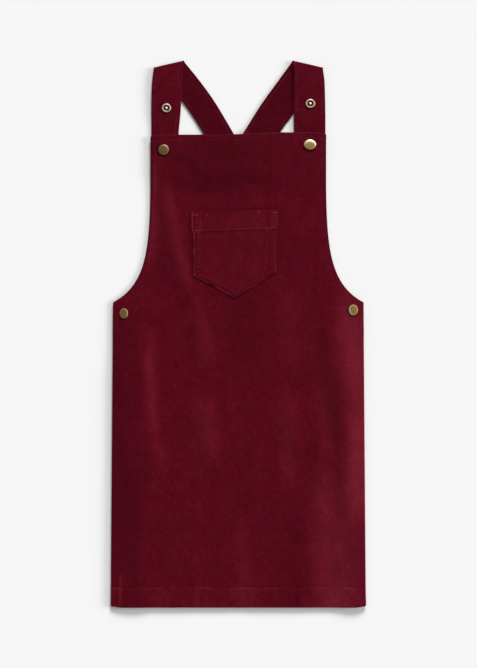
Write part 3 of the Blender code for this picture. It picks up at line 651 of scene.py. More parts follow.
def edge_profile(half, row, shoulder):
    """Cross section from the front's side inwards to its crest, as rows of x, z and the lean there."""
    turn = math.radians(row.turn)
    run = CREST_HANDLE * shoulder - EDGE_ROUND * math.sin(turn)
    slope = math.atan2(row.crest - row.edge - EDGE_ROUND * (1 - math.cos(turn)), run)
    lean = np.linspace(turn, slope, ARC_POINTS)
    arc_x = half - EDGE_ROUND * (math.sin(turn) - np.sin(lean))
    arc_z = row.edge + EDGE_ROUND * (np.cos(lean) - math.cos(turn))
    foot = np.array([arc_x[-1], arc_z[-1]])
    handle = np.array([-run / 2, run / 2 * math.tan(slope)])
    crest = ((half - CREST_HANDLE * shoulder, row.crest), (half - shoulder, row.crest))
    climb = bezier((foot, foot + handle) + crest, np.linspace(0, 1, CLIMB_POINTS)[1:])
    line = np.concatenate([np.stack([arc_x, arc_z], -1), climb])
    chords = np.diff(line, axis=0)
    length = line_length(line)
    leans = np.concatenate([[turn], np.arctan2(chords[:, 1], -chords[:, 0])])
    lean_at = np.concatenate([[0.0], (length[1:] + length[:-1]) / 2])
    places = length[-1] * (np.arange(EDGE_STEPS) / EDGE_STEPS) ** EDGE_SPACING
    x, z = (np.interp(places, length, column) for column in line.T)
    return np.stack([x, z, np.interp(places, lean_at, leans)], -1)


def edge_shift(x, y):
    """How far the bib's top edge and the hem's corners stray from a level line."""
    near_top = smooth(1 - (BIB_Y - y) / EDGE_BLEND)
    near_hem = smooth(1 - (y - HEM_Y) / EDGE_BLEND)
    corner = np.clip(1.0 - (front_half(y) - abs(x)) / CORNER, 0.0, 1.0) ** 2
    rise = BIB_RISE * smooth((x - BIB_RISE_START) / BIB_RISE_LENGTH) - BIB_CORNER * corner
    return near_top * rise + near_hem * HEM_LIFT * corner


def band_rows(bands):
    """Heights on the sheet of a panel's rows, from its top edge down."""
    rows = [bands[0].start]
    for band in bands:
        rows.extend(np.linspace(band.start, band.end, band.steps + 1)[1:])
    return np.array(rows)


def grid_normals(grid):
    """Unit normals of a grid of points, upwards where the grid lies flat."""
    down = np.gradient(grid, axis=0, edge_order=2)
    across = np.gradient(grid, axis=1, edge_order=2)
    return unit(np.cross(down, across))


# Sewing marks in the cloth

def turned_edge(distance, width, along, noise):
    """Rise of a turned and stitched edge, with its groove and puckers, by distance from the edge."""
    strip = TURNING_RISE * (1 - smooth((distance - width) / TURNING_SLOPE + 0.5))
    groove = -GROOVE_DEPTH * ridge(distance - width, GROOVE_HALF)
    wander = PUCKER_STRAY * slow_noise(along, 0 * along, noise)
    puckers = PUCKER * waves(along, PUCKER_PITCH, wander) * ridge(distance - width, PUCKER_REACH * width)
    return strip + groove + puckers


def pressed_snaps(x, y, snaps):
    """Dent and small creases that each snap's pull leaves round it."""
    total = np.zeros(np.broadcast(x, y).shape)
    for snap in snaps:
        away = np.hypot(x - snap.x, (y - snap.y) * snap.wide / snap.tall) - snap.wide / 2
        spin = np.arctan2(y - snap.y, x - snap.x)
        creases = np.sin(SNAP_CREASES * spin + snap.x) * mark(SNAP_CREASE, away)
        total = total + creases - PRESS_DEPTH * (1 - smooth(away / PRESS_REACH))
    return total


def front_sewing(x, y):
    """Relief that the sewing adds to the front: bib, armholes, side openings and hem."""
    along = y + SIDE_STEP * np.sign(x)
    side = turned_edge(from_side(front_half, x, y), EDGE_STITCH, along, SIDE_PUCKERS)
    side = side * smooth((y - SLIT_END_Y) / SLIT_FADE)
    top = turned_edge(BIB_Y - y, BIB_STITCH, x, BIB_PUCKERS)
    hem = turned_edge(y - HEM_Y, HEM_DEPTH, x, HEM_PUCKERS) * wandering(HEM_WAVER, x, y)
    return side + top + hem + pressed_snaps(x, y, BIB_SNAPS + SIDE_SNAPS)


def front_relief(x, y):
    """Sewing and the cloth's own unevenness, on the front's outer face alone."""
    calm = smooth((front_half(y) - abs(x)) / FRONT_EVEN_EDGE)
    return front_sewing(x, y) + unevenness(FRONT_UNEVEN, x, y) * calm


def on_pocket(x, y):
    """A place on the sheet, in the pocket's own pattern."""
    px = x - POCKET_X
    return px, y - POCKET_TILT * px


def off_pocket(px, py):
    """A place of the pocket's pattern, on the sheet."""
    return POCKET_X + px, py + POCKET_TILT * px


def hem_wear_and_highlight(x, y):
    """Painted highlight and wear of the hem: lighter over its turning and its row of stitches, where it
    is worn and catches the light.
    """
    up = y - HEM_Y - HEM_DEPTH
    worn_and_lit = wandering(HEM_WEAR_AND_HIGHLIGHT, x, y)
    return worn_and_lit * (HEM_TURNING_LIGHT * between(up, *HEM_FADE) + mark(HEM_SEAM, up) * (worn_and_lit - HEM_DARK_BELOW))


def pocket_shade(x, y):
    """Dark lines on the front beside the pocket and over its mouth."""
    px, py = on_pocket(x, y)
    foot = FOOT_SHADE + (1 - FOOT_SHADE) * between(py, *POCKET_SHADE_FOOT)
    beside = mark(POCKET_SHADE, pocket_edge_gap(px, py)) * between(py, *POCKET_SHADE_TOP) * foot
    over = mark(MOUTH_SHADE, py - POCKET_TOP_Y) * between(abs(px - MOUTH_SHADE_X), *MOUTH_SHADE_ENDS)
    return beside + over


def front_painted_light(points):
    """How much painted light makes each point of the front lighter, and painted shade darker."""
    x, y = points[..., 0], points[..., 1]
    down = BIB_Y + edge_shift(x, y) - y
    side_gap = from_side(front_half, x, y)
    folded = mark(BIB_FOLD, down) + mark(BIB_SEAM, down) + mark(SIDE_FOLD, side_gap) + hem_wear_and_highlight(x, y)
    shade = mark(ARMHOLE_SHADE, side_gap) * between(y, *ARMHOLE_FADE) + pocket_shade(x, y)
    return fold_heights(FRONT_PAINTED_LIGHT, x, y) + EDGE_LIGHT_AND_SHADE * (folded + shade)


def strap_painted_shade(points):
    """Painted shade at each point of a strap, where it shows its inner face on the way to the back."""
    x, z = points[..., 0], points[..., 2]
    inner_face = between(z, *STRAP_INNER_LOW) * between(z, *STRAP_INNER_HIGH)
    return STRAP_BACK_SHADE * between(abs(x), *STRAP_BACK_REACH) * inner_face


def front_faces():
    """Outer and inner face of the front: rows from the bib down, columns from left to right."""
    y = band_rows(FRONT_BANDS)
    half = front_half(y)
    row = front_station(y)
    rows = [Station(*fields) for fields in zip(*row)]
    left = np.array([edge_profile(h, r, r.left) for h, r in zip(half, rows)]) * (-1, 1, -1)
    right = np.array([edge_profile(h, r, r.right) for h, r in zip(half, rows)])[:, ::-1]
    share = np.linspace(0, 1, FRONT_MIDDLE_STEPS + 1)[None, :]
    across = (row.left - half)[:, None] * (1 - share) + (half - row.right)[:, None] * share
    y = y[:, None]
    left_z = left[..., 1] + calm_folds(left[..., 0], y)
    right_z = right[..., 1] + calm_folds(right[..., 0], y)
    x = np.concatenate([left[..., 0], across, right[..., 0]], axis=1)
    z = np.concatenate([left_z, front_height(across, y), right_z], axis=1)
    base = np.stack([x, y + edge_shift(x, y), z], -1)
    up = grid_normals(base)
    for columns, side in ((slice(None, EDGE_STEPS), left), (slice(-EDGE_STEPS, None), right)):
        lean = side[..., 2]
        up[:, columns] = np.stack([np.sin(lean), 0 * lean, np.cos(lean)], -1)
    creases = fold_heights(CREASES, x, y)[..., None]
    relief = front_relief(x, y)[..., None]
    return base + up * (creases + relief), base + up * (creases - CLOTH)


# Form of the back

def back_sewing(x, y):
    """How far the rows of stitches sink into the back."""
    side = ridge(from_side(back_half, x, y) - EDGE_STITCH, GROOVE_HALF)
    side = side * smooth((y - SLIT_END_Y) / SLIT_FADE)
    hem = ridge(y - HEM_Y - HEM_DEPTH, GROOVE_HALF)
    top = ridge(BACK_TOP_Y - y - BIB_STITCH, GROOVE_HALF)
    return GROOVE_DEPTH * (side + hem + top)


def back_faces():
    """Inner and outer face of the back, flat on the surface and turned up at the skirt's sides."""
    y = band_rows(BACK_BANDS)
    half = back_half(y)
    turn = math.pi / 2 * smooth((SLIT_END_Y - y) / (SLIT_END_Y - FULL_TURN_Y))
    share = np.linspace(0, 1, BACK_EDGE_STEPS + 1)[None, :]
    foot = (half - SEAM_RIM * np.sin(turn))[:, None]
    flat = SEAM_RIM * (math.pi / 2 - turn)[:, None] * (1 - share)
    angle = turn[:, None] * share
    side_x = foot - flat + SEAM_RIM * np.sin(angle)
    side_z = SEAM_RIM * (1 - np.cos(angle))
    middle = side_x[:, :1] * np.linspace(-1, 1, BACK_MIDDLE_STEPS + 1)[None, 1:-1]
    x = np.concatenate([-side_x[:, ::-1], middle, side_x], axis=1)
    z = np.concatenate([side_z[:, ::-1], 0 * middle, side_z], axis=1)
    y = np.broadcast_to(y[:, None], x.shape)
    base = np.stack([x, y, z], -1)
    up = grid_normals(base)
    calm = smooth((from_side(back_half, x, y) - BACK_EDGE_CALM) / BACK_CALM_SPREAD)
    troughs = fold_heights(BACK_CREASES, x, y) * calm
    hand = (BACK_UNEVEN[0].height + unevenness(BACK_UNEVEN, x, y)) * calm
    sunk = BACK_CLEAR + troughs + back_sewing(x, y) + hand
    return base + up * (CLOTH + troughs)[..., None], base + up * sunk[..., None]


# Pocket

def pocket_slope():
    return (POCKET_CORNER_Y - POCKET_TIP_Y) / POCKET_HALF


def in_pocket_band(py):
    """1 in the turned band along the pocket's mouth and 0 below it."""
    return 1 - smooth((POCKET_TOP_Y - POCKET_BAND - py) / POCKET_NARROWING + 0.5)


def pocket_plan():
    """Places of the pocket's points in its own pattern, and how much of them is in the turned band."""
    u = np.linspace(-1, 1, POCKET_COLUMNS + 1)[None, :]
    v = np.linspace(0, 1, POCKET_ROWS + 1)[:, None]
    foot = POCKET_TIP_Y + (POCKET_CORNER_Y - POCKET_TIP_Y) * abs(u)
    y = POCKET_TOP_Y + (foot - POCKET_TOP_Y) * v
    in_band = in_pocket_band(y)
    x = u * (POCKET_HALF + (POCKET_TOP_HALF - POCKET_HALF) * in_band)
    return x, y, in_band


def pocket_edge_gap(px, py):
    """Distance in from the pocket's sides and foot."""
    half = POCKET_HALF + (POCKET_TOP_HALF - POCKET_HALF) * in_pocket_band(py)
    foot_gap = (py - POCKET_TIP_Y - pocket_slope() * abs(px)) / math.hypot(1.0, pocket_slope())
    return np.minimum(half - abs(px), foot_gap)


def pocket_puckers(px, py):
    """Small puckers between the two rows of stitches round the pocket, from -1 to 1."""
    wander = TIGHT_PUCKER_STRAY * slow_noise(px, py, POCKET_STRAY)
    ripple = waves(POCKET_PUCKER_SLANT * px + py, POCKET_PUCKER_PITCH, wander)
    shown = wandering(POCKET_WAVER, px, py)
    shown = shown * np.maximum(between(px, *LEFT_PUCKERS), mark(RIGHT_PUCKERS, py))
    return ripple * shown * mark(POCKET_PUCKERS, pocket_edge_gap(px, py))


def pocket_painted_light(points):
    """Painted light and shade of the pocket: highlights along its folded edges and its band's seam,
    shade along its right side and its seams, and both over the puckers.
    """
    px, py = on_pocket(points[..., 0], points[..., 1])
    gap = pocket_edge_gap(px, py)
    band = in_pocket_band(py)
    worn_and_lit = wandering(POCKET_WEAR_AND_HIGHLIGHT, px, py)
    left = between(px, *POCKET_LEFT)
    rubbed = mark(FOOT_HIGHLIGHT, px) + mark(SIDE_HIGHLIGHT, py) * (1 - left)
    edge = mark(POCKET_FOLD, gap) * (LEFT_EDGE_LIGHT_AND_WEAR * worn_and_lit * left + RIGHT_EDGE_SHADE * (1 - left) + rubbed)
    mouth = mark(MOUTH_FOLD, POCKET_TOP_Y - py) * (MOUTH_EDGE_SHADE + mark(MOUTH_HIGHLIGHT, px))
    ends = between(abs(px - BAND_SEAM_X), *BAND_SEAM_ENDS)
    ends = BAND_SEAM_MIDDLE + (1 - BAND_SEAM_MIDDLE) * ends
    seam = mark(BAND_SEAM, py - POCKET_BAND_STITCH) * ends * worn_and_lit
    seam = seam + mark(BAND_SHADE, py - POCKET_BAND_STITCH) * (POCKET_WEAR_AND_HIGHLIGHT.most - worn_and_lit)
    inner = mark(INNER_SEAM, gap) * worn_and_lit + mark(INNER_SHADE, gap)
    turning = mark(TURNING_LIGHT, px) + mark(TURNING_DARK, abs(px - TURNING_DARK_X))
    flap = FLAP_LIGHT * between(px, *FLAP_FADE)
    puckers = PUCKER_LIGHT_AND_SHADE * pocket_puckers(px, py) * (1 - (1 - BAND_PUCKER_SHARE) * band)
    light_spots = sum(mark(LIGHT_SPOT, np.hypot(px - spot_x, py - spot_y)) for spot_x, spot_y in LIGHT_SPOTS)
    return POCKET_LIGHTER + edge + mouth + seam + inner + band * (turning + flap) + puckers + light_spots


def pocket_faces():
    """Upper and lower face of the chest pocket, from points of the front moved out."""
    px, py, in_band = pocket_plan()
    x, y = off_pocket(px, py)
    edge_gap = pocket_edge_gap(px, py)
    border = POCKET_BORDER * between(edge_gap, *POCKET_BORDER_END)
    border = border - POCKET_EDGE_PRESS * (1 - smooth(edge_gap / POCKET_PRESS_WIDTH))
    groove = sum(mark(row, edge_gap) for row in POCKET_GROOVES) + mark(POCKET_BAND_GROOVE, py)
    ripple = POCKET_PUCKER * pocket_puckers(px, py)
    hand = unevenness(POCKET_UNEVEN, px, py)
    gape = POCKET_GAPE * (1 - (px / POCKET_TOP_HALF) ** 2)
    gape = gape * np.exp((py - POCKET_TOP_Y) / POCKET_GAPE_DEPTH)
    lower = front_height(x, y) + fold_heights(CREASES, x, y) + front_relief(x, y) + POCKET_GAP + gape
    upper = lower + CLOTH + POCKET_TURN * in_band + border + groove + ripple + hand
    return np.stack([x, y, upper], -1), np.stack([x, y, lower], -1)


# Straps

def strap_lift(points):
    """How far the upper strap is raised where it crosses the lower one behind the bib."""
    start, end = (np.array(LEFT_BACK_RUN[row]) for row in (CROSS_ROW, -1))
    a, b = ((row[0:2] + row[2:4]) / 2 for row in (start, end))
    along = unit(b - a)
    away = points[..., :2] - a
    aside = abs(away[..., 0] * along[1] - away[..., 1] * along[0])
    half = (end[2] - end[0]) / 2 * abs(along[1])
    return (STRAP + GAP) * smooth(1.0 - (aside - half - CROSS_MARGIN) / CROSS_SPREAD)


def strap_middle(run, t, upper):
    """Points half way through one run of a strap, and each row's place in the run's table."""
    corners = np.array(run)
    places = line_length((corners[:, 0:2] + corners[:, 2:4]) / 2)
    steps = np.linspace(0, len(run) - 1, (len(run) - 1) * STRAP_STEPS + 1)
    at = np.interp(steps, np.arange(len(run)), places)
    row = Section(*(curve_through(places, column, at)[:, None] for column in corners.T))
    x = row.outer_x + (row.inner_x - row.outer_x) * t
    y = row.outer_y + (row.inner_y - row.outer_y) * t
    z = row.under + STRAP / 2 + row.bow * 4 * t * (1 - t)
    points = np.stack([x, y, z], -1)
    if upper:
        points[..., 2] += strap_lift(points)
    return points, steps


def strap_creases(points, steps, creases, run):
    """Height of the creases of one run of a strap."""
    total = np.zeros(points.shape[:2])
    for crease in creases:
        if crease.run != run:
            continue
        ends = []
        for row, across in ((crease.row, crease.across), (crease.run_to, crease.across_to)):
            k = int(np.argmin(abs(steps - row)))
            ends.append(points[k, int(round(across * STRAP_COLUMNS)), :2])
        a, b = ends
        along = ((points[..., :2] - a) @ (b - a)) / ((b - a) @ (b - a))
        nearest = a + np.clip(along, 0, 1)[..., None] * (b - a)
        away = np.linalg.norm(points[..., :2] - nearest, axis=-1)
        taper = between(abs(along - 0.5), *CREASE_TAPER)
        total = total + crease.height * taper * ridge(away, crease.width)
    return total


def strap_relief(middle, t):
    """How far a strap's seams rise or sink, and its own unevenness."""
    width = np.linalg.norm(middle[:, -1] - middle[:, 0], axis=-1)[:, None]
    edge_gap = np.minimum(t, 1 - t) * width
    along = line_length(middle[:, STRAP_COLUMNS // 2])
    along = np.broadcast_to(along[:, None], edge_gap.shape)
    across = STRAP_LATTICE * t
    wander = TIGHT_PUCKER_STRAY * slow_noise(along, across, STRAP_STRAY)
    puckers = waves(along, STRAP_PUCKER_PITCH, wander) * mark(STRAP_PUCKER, edge_gap)
    hand = unevenness(STRAP_UNEVEN, along, across) * smooth(edge_gap / STRAP_EVEN_EDGE)
    return puckers + mark(STRAP_GROOVE, edge_gap), hand


def strap_fold(section):
    """Ends of the axis about which a strap folds over, on the sheet, and the way beyond it."""
    a = np.array([section.outer_x, section.outer_y, 0.0])
    b = np.array([section.inner_x, section.inner_y, 0.0])
    beyond = unit(np.cross(UP, b - a))
    if beyond[1] < 0:
        beyond = -beyond
    return a - beyond * FOLD_RADIUS, b - beyond * FOLD_RADIUS, beyond


def strap_faces(front_run, back_run, upper, creases):
    """Outer and inner face of a strap that is folded over at the shoulder."""
    a, b, beyond = strap_fold(front_run[-1])
    drawn_in = dict(outer_x=a[0], outer_y=a[1], inner_x=b[0], inner_y=b[1])
    front_run = front_run[:-1] + (front_run[-1]._replace(**drawn_in),)
    back_run = (back_run[0]._replace(**drawn_in),) + back_run[1:]
    t = np.linspace(0, 1, STRAP_COLUMNS + 1)[None, :]
    front, front_steps = strap_middle(front_run, t, False)
    back, back_steps = strap_middle(back_run, t, upper)
    angle = (math.pi / 2 - math.pi * np.arange(1, FOLD_STEPS) / FOLD_STEPS)[:, None]
    fold_out = beyond * np.cos(angle) + UP * np.sin(angle)
    edge = a + UP * FOLD_RADIUS + fold_out * (STRAP + FOLD_AIR) / 2
    over = edge[:, None] + (b - a) * t[..., None]

    middle = np.concatenate([front, over, back])
    out = np.concatenate([np.tile(UP, (len(front), 1)), fold_out, np.tile(-UP, (len(back), 1))])[:, None]
    seam, hand = strap_relief(middle, t)
    above = STRAP / 2 + seam + hand
    below = STRAP / 2 + seam - hand
    above[:len(front)] += strap_creases(front, front_steps, creases, "front")
    above[-len(back):] -= BACK_CLEAR
    below[-len(back):] += strap_creases(back, back_steps, creases, "back")
    return middle + out * above[..., None], middle - out * below[..., None]


# Meshes

def boundary(rows, columns):
    """Places round a grid's edge, and the place just inside each."""
    rim = [(i, 0) for i in range(rows)]
    rim += [(rows - 1, j) for j in range(1, columns)]
    rim += [(i, columns - 1) for i in range(rows - 2, -1, -1)]
    rim += [(0, j) for j in range(columns - 2, 0, -1)]
    rim = np.array(rim)
    return rim.T, np.clip(rim, 1, [rows - 2, columns - 2]).T


def grain_map(grid):
    """Lengths along a grid's rows and down its columns, measured from its middle column."""
    across = np.linalg.norm(np.diff(grid, axis=1), axis=2)
    u = np.concatenate([np.zeros((len(grid), 1)), np.cumsum(across, axis=1)], axis=1)
    middle = grid.shape[1] // 2
    u = u - u[:, middle:middle + 1]
    v = -line_length(grid[:, middle])
    return np.stack([u, np.broadcast_to(v[:, None], u.shape)], -1)


def new_piece(name, vertices, faces, grain, finish, nap=None):
    """A piece of the dress from points in millimetres, with its grain map, its values of painted light
    and shade, and finish.
    """
    mesh = bpy.data.meshes.new(name)
    mesh.from_pydata((vertices * MM).tolist(), [], faces)
    corners = np.zeros(len(mesh.loops), int)
    mesh.loops.foreach_get("vertex_index", corners)
    grain_layer = mesh.uv_layers.new(name=GRAIN)
    grain_layer.uv.foreach_set("vector", grain[corners].astype(np.float32).ravel())
    # The points' painted light and shade go to the finish as values.
    if nap is not None:
        tone = mesh.attributes.new(PAINTED_TONE, "FLOAT", "POINT")
        tone.data.foreach_set("value", nap.astype(np.float32))
    mesh.shade_smooth()
    mesh.materials.append(finish)
    piece = bpy.data.objects.new(name, mesh)
    bpy.context.scene.collection.objects.link(piece)
    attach(piece, "root")
    return piece


def grid_quads(index):
    """Faces between the points of a grid, from their numbers."""
    corners = [index[:-1, :-1], index[1:, :-1], index[1:, 1:], index[:-1, 1:]]
    return np.stack(corners, -1).reshape(-1, 4)


def ring_quads(high, low):
    """Faces between two rings of points, from their numbers."""
    return np.stack([high, low, np.roll(low, -1), np.roll(high, -1)], -1)


def cloth_wall(name, face, other, roundness, finish, painted_tone_at=None):
    """Closed piece of cloth between two grids of points, with its edges turned round."""
    rows, columns = face.shape[:2]
    i, j = rows // 2, columns // 2
    if grid_normals(face)[i, j] @ (face - other)[i, j] < 0:
        face = face[:, ::-1]
        other = other[:, ::-1]
    grain = grain_map(face)
    (i, j), (p, q) = boundary(rows, columns)
    half = (face[i, j] - other[i, j]) / 2
    middle = (face[i, j] + other[i, j]) / 2
    away = face[i, j] - face[p, q]
    away = away - half * ((away * half).sum(-1) / (half * half).sum(-1))[:, None]
    radius = np.minimum(roundness, RIM_SHARE * np.linalg.norm(away, axis=-1))[:, None]
    away = unit(away)
    core = middle - away * radius
    face = face.copy()
    other = other.copy()
    face[i, j] = core + half
    other[i, j] = core - half
    past = np.stack([(j == columns - 1) * 1.0 - (j == 0), (i == 0) * 1.0 - (i == rows - 1)], -1)
    vertices = [face.reshape(-1, 3), other.reshape(-1, 3)]
    grains = [grain.reshape(-1, 2), grain.reshape(-1, 2)]
    for angle in np.linspace(math.pi / 2, -math.pi / 2, RIM_STEPS + 1)[1:-1]:
        vertices.append(core + away * radius * math.cos(angle) + half * math.sin(angle))
        grains.append(grain[i, j] + past * radius * (math.pi / 2 - angle))
    index = np.arange(rows * columns).reshape(rows, columns)
    below = index + rows * columns
    rings = [index[i, j]]
    rings += [2 * rows * columns + k * len(i) + np.arange(len(i)) for k in range(RIM_STEPS - 1)]
    rings += [below[i, j]]
    faces = [grid_quads(index), grid_quads(below)[:, (0, 3, 2, 1)]]
    faces += [ring_quads(high, low) for high, low in zip(rings, rings[1:])]
    faces = np.concatenate(faces).tolist()
    vertices = np.concatenate(vertices)
    # Each point's painted light and shade, where the piece has any.
    nap = painted_tone_at(vertices) if painted_tone_at else np.zeros(len(vertices))
    return new_piece(name, vertices, faces, np.concatenate(grains), finish, nap)


def surface_of(piece):
    """Tree for finding places on a piece, in millimetres."""
    points = [v.co / MM for v in piece.data.vertices]
    return BVHTree.FromPolygons(points, [tuple(f.vertices) for f in piece.data.polygons])


def seat(tree, x, y, above=True):
    """Point of a surface over or under a place on the sheet, and its normal there."""
    way = -1 if above else 1
    point, normal, _, _ = tree.ray_cast(Vector((x, y, -CLEAR_OFF * way)), Vector((0, 0, way)))
    if point is None:
        return None, None
    return point, (normal if normal.z * way < 0 else -normal)


def laid_area(face):
    cell = np.cross(face[1:, 1:] - face[:-1, :-1], face[1:, :-1] - face[:-1, 1:])
    return np.linalg.norm(cell, axis=-1).sum() / 2


def panel_cut(face):
    """Flat width, length and area of a panel: its longest row, its middle column and what it covers."""
    rows = np.linalg.norm(np.diff(face, axis=1), axis=-1).sum(axis=1)
    middle = line_length(face[:, face.shape[1] // 2])
    return rows.max(), middle[-1], laid_area(face)


def pocket_cut(face):
    return 2 * POCKET_TOP_HALF, POCKET_TOP_Y - POCKET_TIP_Y, laid_area(face)


def strap_cut(face):
    """Flat width, length and area of a strap, straightened out along its middle."""
    length = line_length(face[:, STRAP_COLUMNS // 2])[-1]
    area = laid_area(face)
    return area / length, length, area


def declare_sheet(cut):
    """Reads a piece's flat width, length and area in millimetres and limits the area to width times
    length; nothing more is done with them.
    """
    width, length, area = cut
    area = min(area, width * length)


# Stitching

StitchRing = namedtuple("StitchRing", "along radius height")
# A stitch from end to end: place along it in half lengths, radius and height in thread radii.
STITCH_RINGS = (
    StitchRing(-1.0, 0.05, -1.0), StitchRing(-0.8, 0.85, -0.1), StitchRing(-0.35, 1.0, 0.55),
    StitchRing(0.35, 1.0, 0.55), StitchRing(0.8, 0.85, -0.1), StitchRing(1.0, 0.05, -1.0),
)


def stitch_shape():
    """Points and faces of one stitch, in half lengths along it and in millimetres aside and up."""
    angle = 2 * math.pi * np.arange(THREAD_SIDES) / THREAD_SIDES
    points = []
    for ring in STITCH_RINGS:
        aside = THREAD * ring.radius * np.cos(angle)
        up = THREAD * (ring.radius * np.sin(angle) + ring.height)
        points.append(np.stack([np.full(THREAD_SIDES, ring.along), aside, up], -1))
    faces = []
    for ring in range(len(STITCH_RINGS) - 1):
        for k in range(THREAD_SIDES):
            a = ring * THREAD_SIDES + k
            b = ring * THREAD_SIDES + (k + 1) % THREAD_SIDES
            faces.append((a, b, b + THREAD_SIDES, a + THREAD_SIDES))
    last = (len(STITCH_RINGS) - 1) * THREAD_SIDES
    faces.append(tuple(range(THREAD_SIDES - 1, -1, -1)))
    faces.append(tuple(range(last, last + THREAD_SIDES)))
    return np.concatenate(points), faces


def at_length(points, values, places):
    """Values given at a line's points, read at lengths along it."""
    length = line_length(points)
    return np.stack([np.interp(places, length, column) for column in values.T], -1)


def stitching(name, lines, finish):
    """One joined mesh of the stitches along these lines of points and normals."""
    shape, shape_faces = stitch_shape()
    vertices = []
    faces = []
    grains = []
    count = 0
    for points, normals in lines:
        centres = np.arange(STITCH_PITCH / 2, line_length(points)[-1], STITCH_PITCH)
        starts = at_length(points, points, centres - STITCH_LENGTH / 2)
        ends = at_length(points, points, centres + STITCH_LENGTH / 2)
        ups = at_length(points, normals, centres)
        for start, end, up in zip(starts, ends, ups):
            half = (end - start) / 2
            aside = unit(np.cross(up, half))
            rise = unit(np.cross(half, aside))
            middle = (start + end) / 2
            vertices.append(middle + shape[:, :1] * half + shape[:, 1:2] * aside + shape[:, 2:] * rise)
            grains.append(shape[:, :2] * [STITCH_LENGTH / 2, 1.0] + [count * STRAND_SHIFT, 0.0])
            faces.extend(tuple(count + k for k in face) for face in shape_faces)
            count += len(shape)
    return new_piece(name, np.concatenate(vertices), faces, np.concatenate(grains), finish)


def dense(path):
    """The same line on the sheet with a point every millimetre or so."""
    path = np.asarray(path, float)
    length = line_length(path)
    return at_length(path, path, np.linspace(0, length[-1], max(2, int(length[-1]))))


def sunk_in(line, depth):
    """A line of points and normals, pulled into the cloth unevenly and about this deep."""
    points, normals = line
    uneven = depth * (1 + slow_noise(points[:, 0], points[:, 1], STITCH_WAVER))
    return points - normals * uneven[:, None], normals


def laid_on(tree, path, above=True):
    """A line on the sheet laid on a surface, as points and normals."""
    points = []
    normals = []
    for x, y in dense(path):
        point, normal = seat(tree, x, y, above)
        if point is not None:
            points.append(tuple(point))
            normals.append(tuple(normal))
    return np.array(points), np.array(normals)


def armhole_line(half_at, top_y, corner_y, side):
    """Row of stitches along an armhole, which then runs down the side opening."""
    y = np.linspace(top_y, corner_y, ARMHOLE_POINTS)
    lean = half_at(y + LEAN_STEP) - half_at(y - LEAN_STEP)
    inward = unit(np.stack([np.full(len(y), -2 * LEAN_STEP), lean], -1))
    path = np.stack([half_at(y), y], -1) + inward * EDGE_STITCH
    path = path[path[:, 0] < side_half(path[:, 1]) - EDGE_STITCH]
    down = np.linspace(path[-1, 1] - 0.5, SLIT_END_Y, SLIT_POINTS)
    slit = np.stack([side_half(down) - EDGE_STITCH, down], -1)
    return np.concatenate([path, slit]) * [side, 1]


def level(half, y):
    """Line straight across the sheet."""
    return [(-half, y), (half, y)]


def front_stitch_lines():
    """Top-stitching of the front, on the sheet."""
    bib = dense(level(BIB_HALF - ROW_END, BIB_Y - BIB_STITCH))
    bib[:, 1] += edge_shift(bib[:, 0], bib[:, 1])
    hem = level(HEM_HALF - HEM_ROW_END, HEM_Y + HEM_DEPTH)
    top_y = BIB_Y - ARMHOLE_ROW_END
    return [bib, hem] + [armhole_line(front_half, top_y, UNDERARM_Y, side) for side in (-1, 1)]


def strap_box(run):
    """Stitched box with a cross that sews a strap's end to the back."""
    upper, end = run[-2:]
    across = np.sign(end.inner_x - end.outer_x) * STRAP_BOX
    a = (upper.outer_x + across, upper.outer_y - STRAP_BOX_DROP)
    b = (upper.inner_x - across, upper.inner_y - STRAP_BOX_DROP)
    c = (end.inner_x - across, end.inner_y + STRAP_BOX)
    d = (end.outer_x + across, end.outer_y + STRAP_BOX)
    return [[a, b, c, d, a], [a, c], [b, d]]


def back_stitch_lines():
    """Stitching of the back, on the sheet."""
    top = level(BACK_TOP_HALF - BACK_INSET - ROW_END, BACK_TOP_Y - BIB_STITCH)
    hem = level(HEM_HALF - SEAM_RIM, HEM_Y + HEM_DEPTH)
    top_y, corner_y = BACK_TOP_Y - ROW_END, UNDERARM_Y - BACK_INSET
    armholes = [armhole_line(back_half, top_y, corner_y, side) for side in (-1, 1)]
    return [top, hem] + armholes + strap_box(LEFT_BACK_RUN) + strap_box(RIGHT_BACK_RUN)


def pocket_round(inset):
    """Line round the pocket's sides and foot, this far inside its edge."""
    slope = pocket_slope()
    foot = POCKET_CORNER_Y + inset * (math.hypot(1.0, slope) - slope)
    band_y = POCKET_TOP_Y - POCKET_BAND
    side = [
        (POCKET_TOP_HALF - inset, POCKET_TOP_Y - POCKET_ROW_END),
        (POCKET_TOP_HALF - inset, band_y + POCKET_STEP[0]),
        (POCKET_HALF - inset, band_y + POCKET_STEP[1]),
        (POCKET_HALF - inset, foot),
    ]
    tip = (0.0, POCKET_TIP_Y + inset * math.hypot(1.0, slope))
    return [(-x, y) for x, y in side] + [tip] + side[::-1]


def pocket_stitch_lines():
    """Stitching of the pocket, on the sheet: two rows round it, its band and a bar tack at each end."""
    band_half = POCKET_TOP_HALF - POCKET_EDGE_STITCH
    tack_end = POCKET_TOP_HALF - POCKET_INNER_STITCH - BAR_TACK_PAST
    lines = [pocket_round(POCKET_EDGE_STITCH), pocket_round(POCKET_INNER_STITCH)]
    lines.append(level(band_half, POCKET_BAND_STITCH))
    for side in (-1, 1):
        for row in range(BAR_TACK_ROWS):
            y = BAR_TACK_Y + BAR_TACK_PITCH * row
            lines.append([(side * band_half, y), (side * tack_end, y)])
    return [[off_pocket(px, py) for px, py in dense(line)] for line in lines]


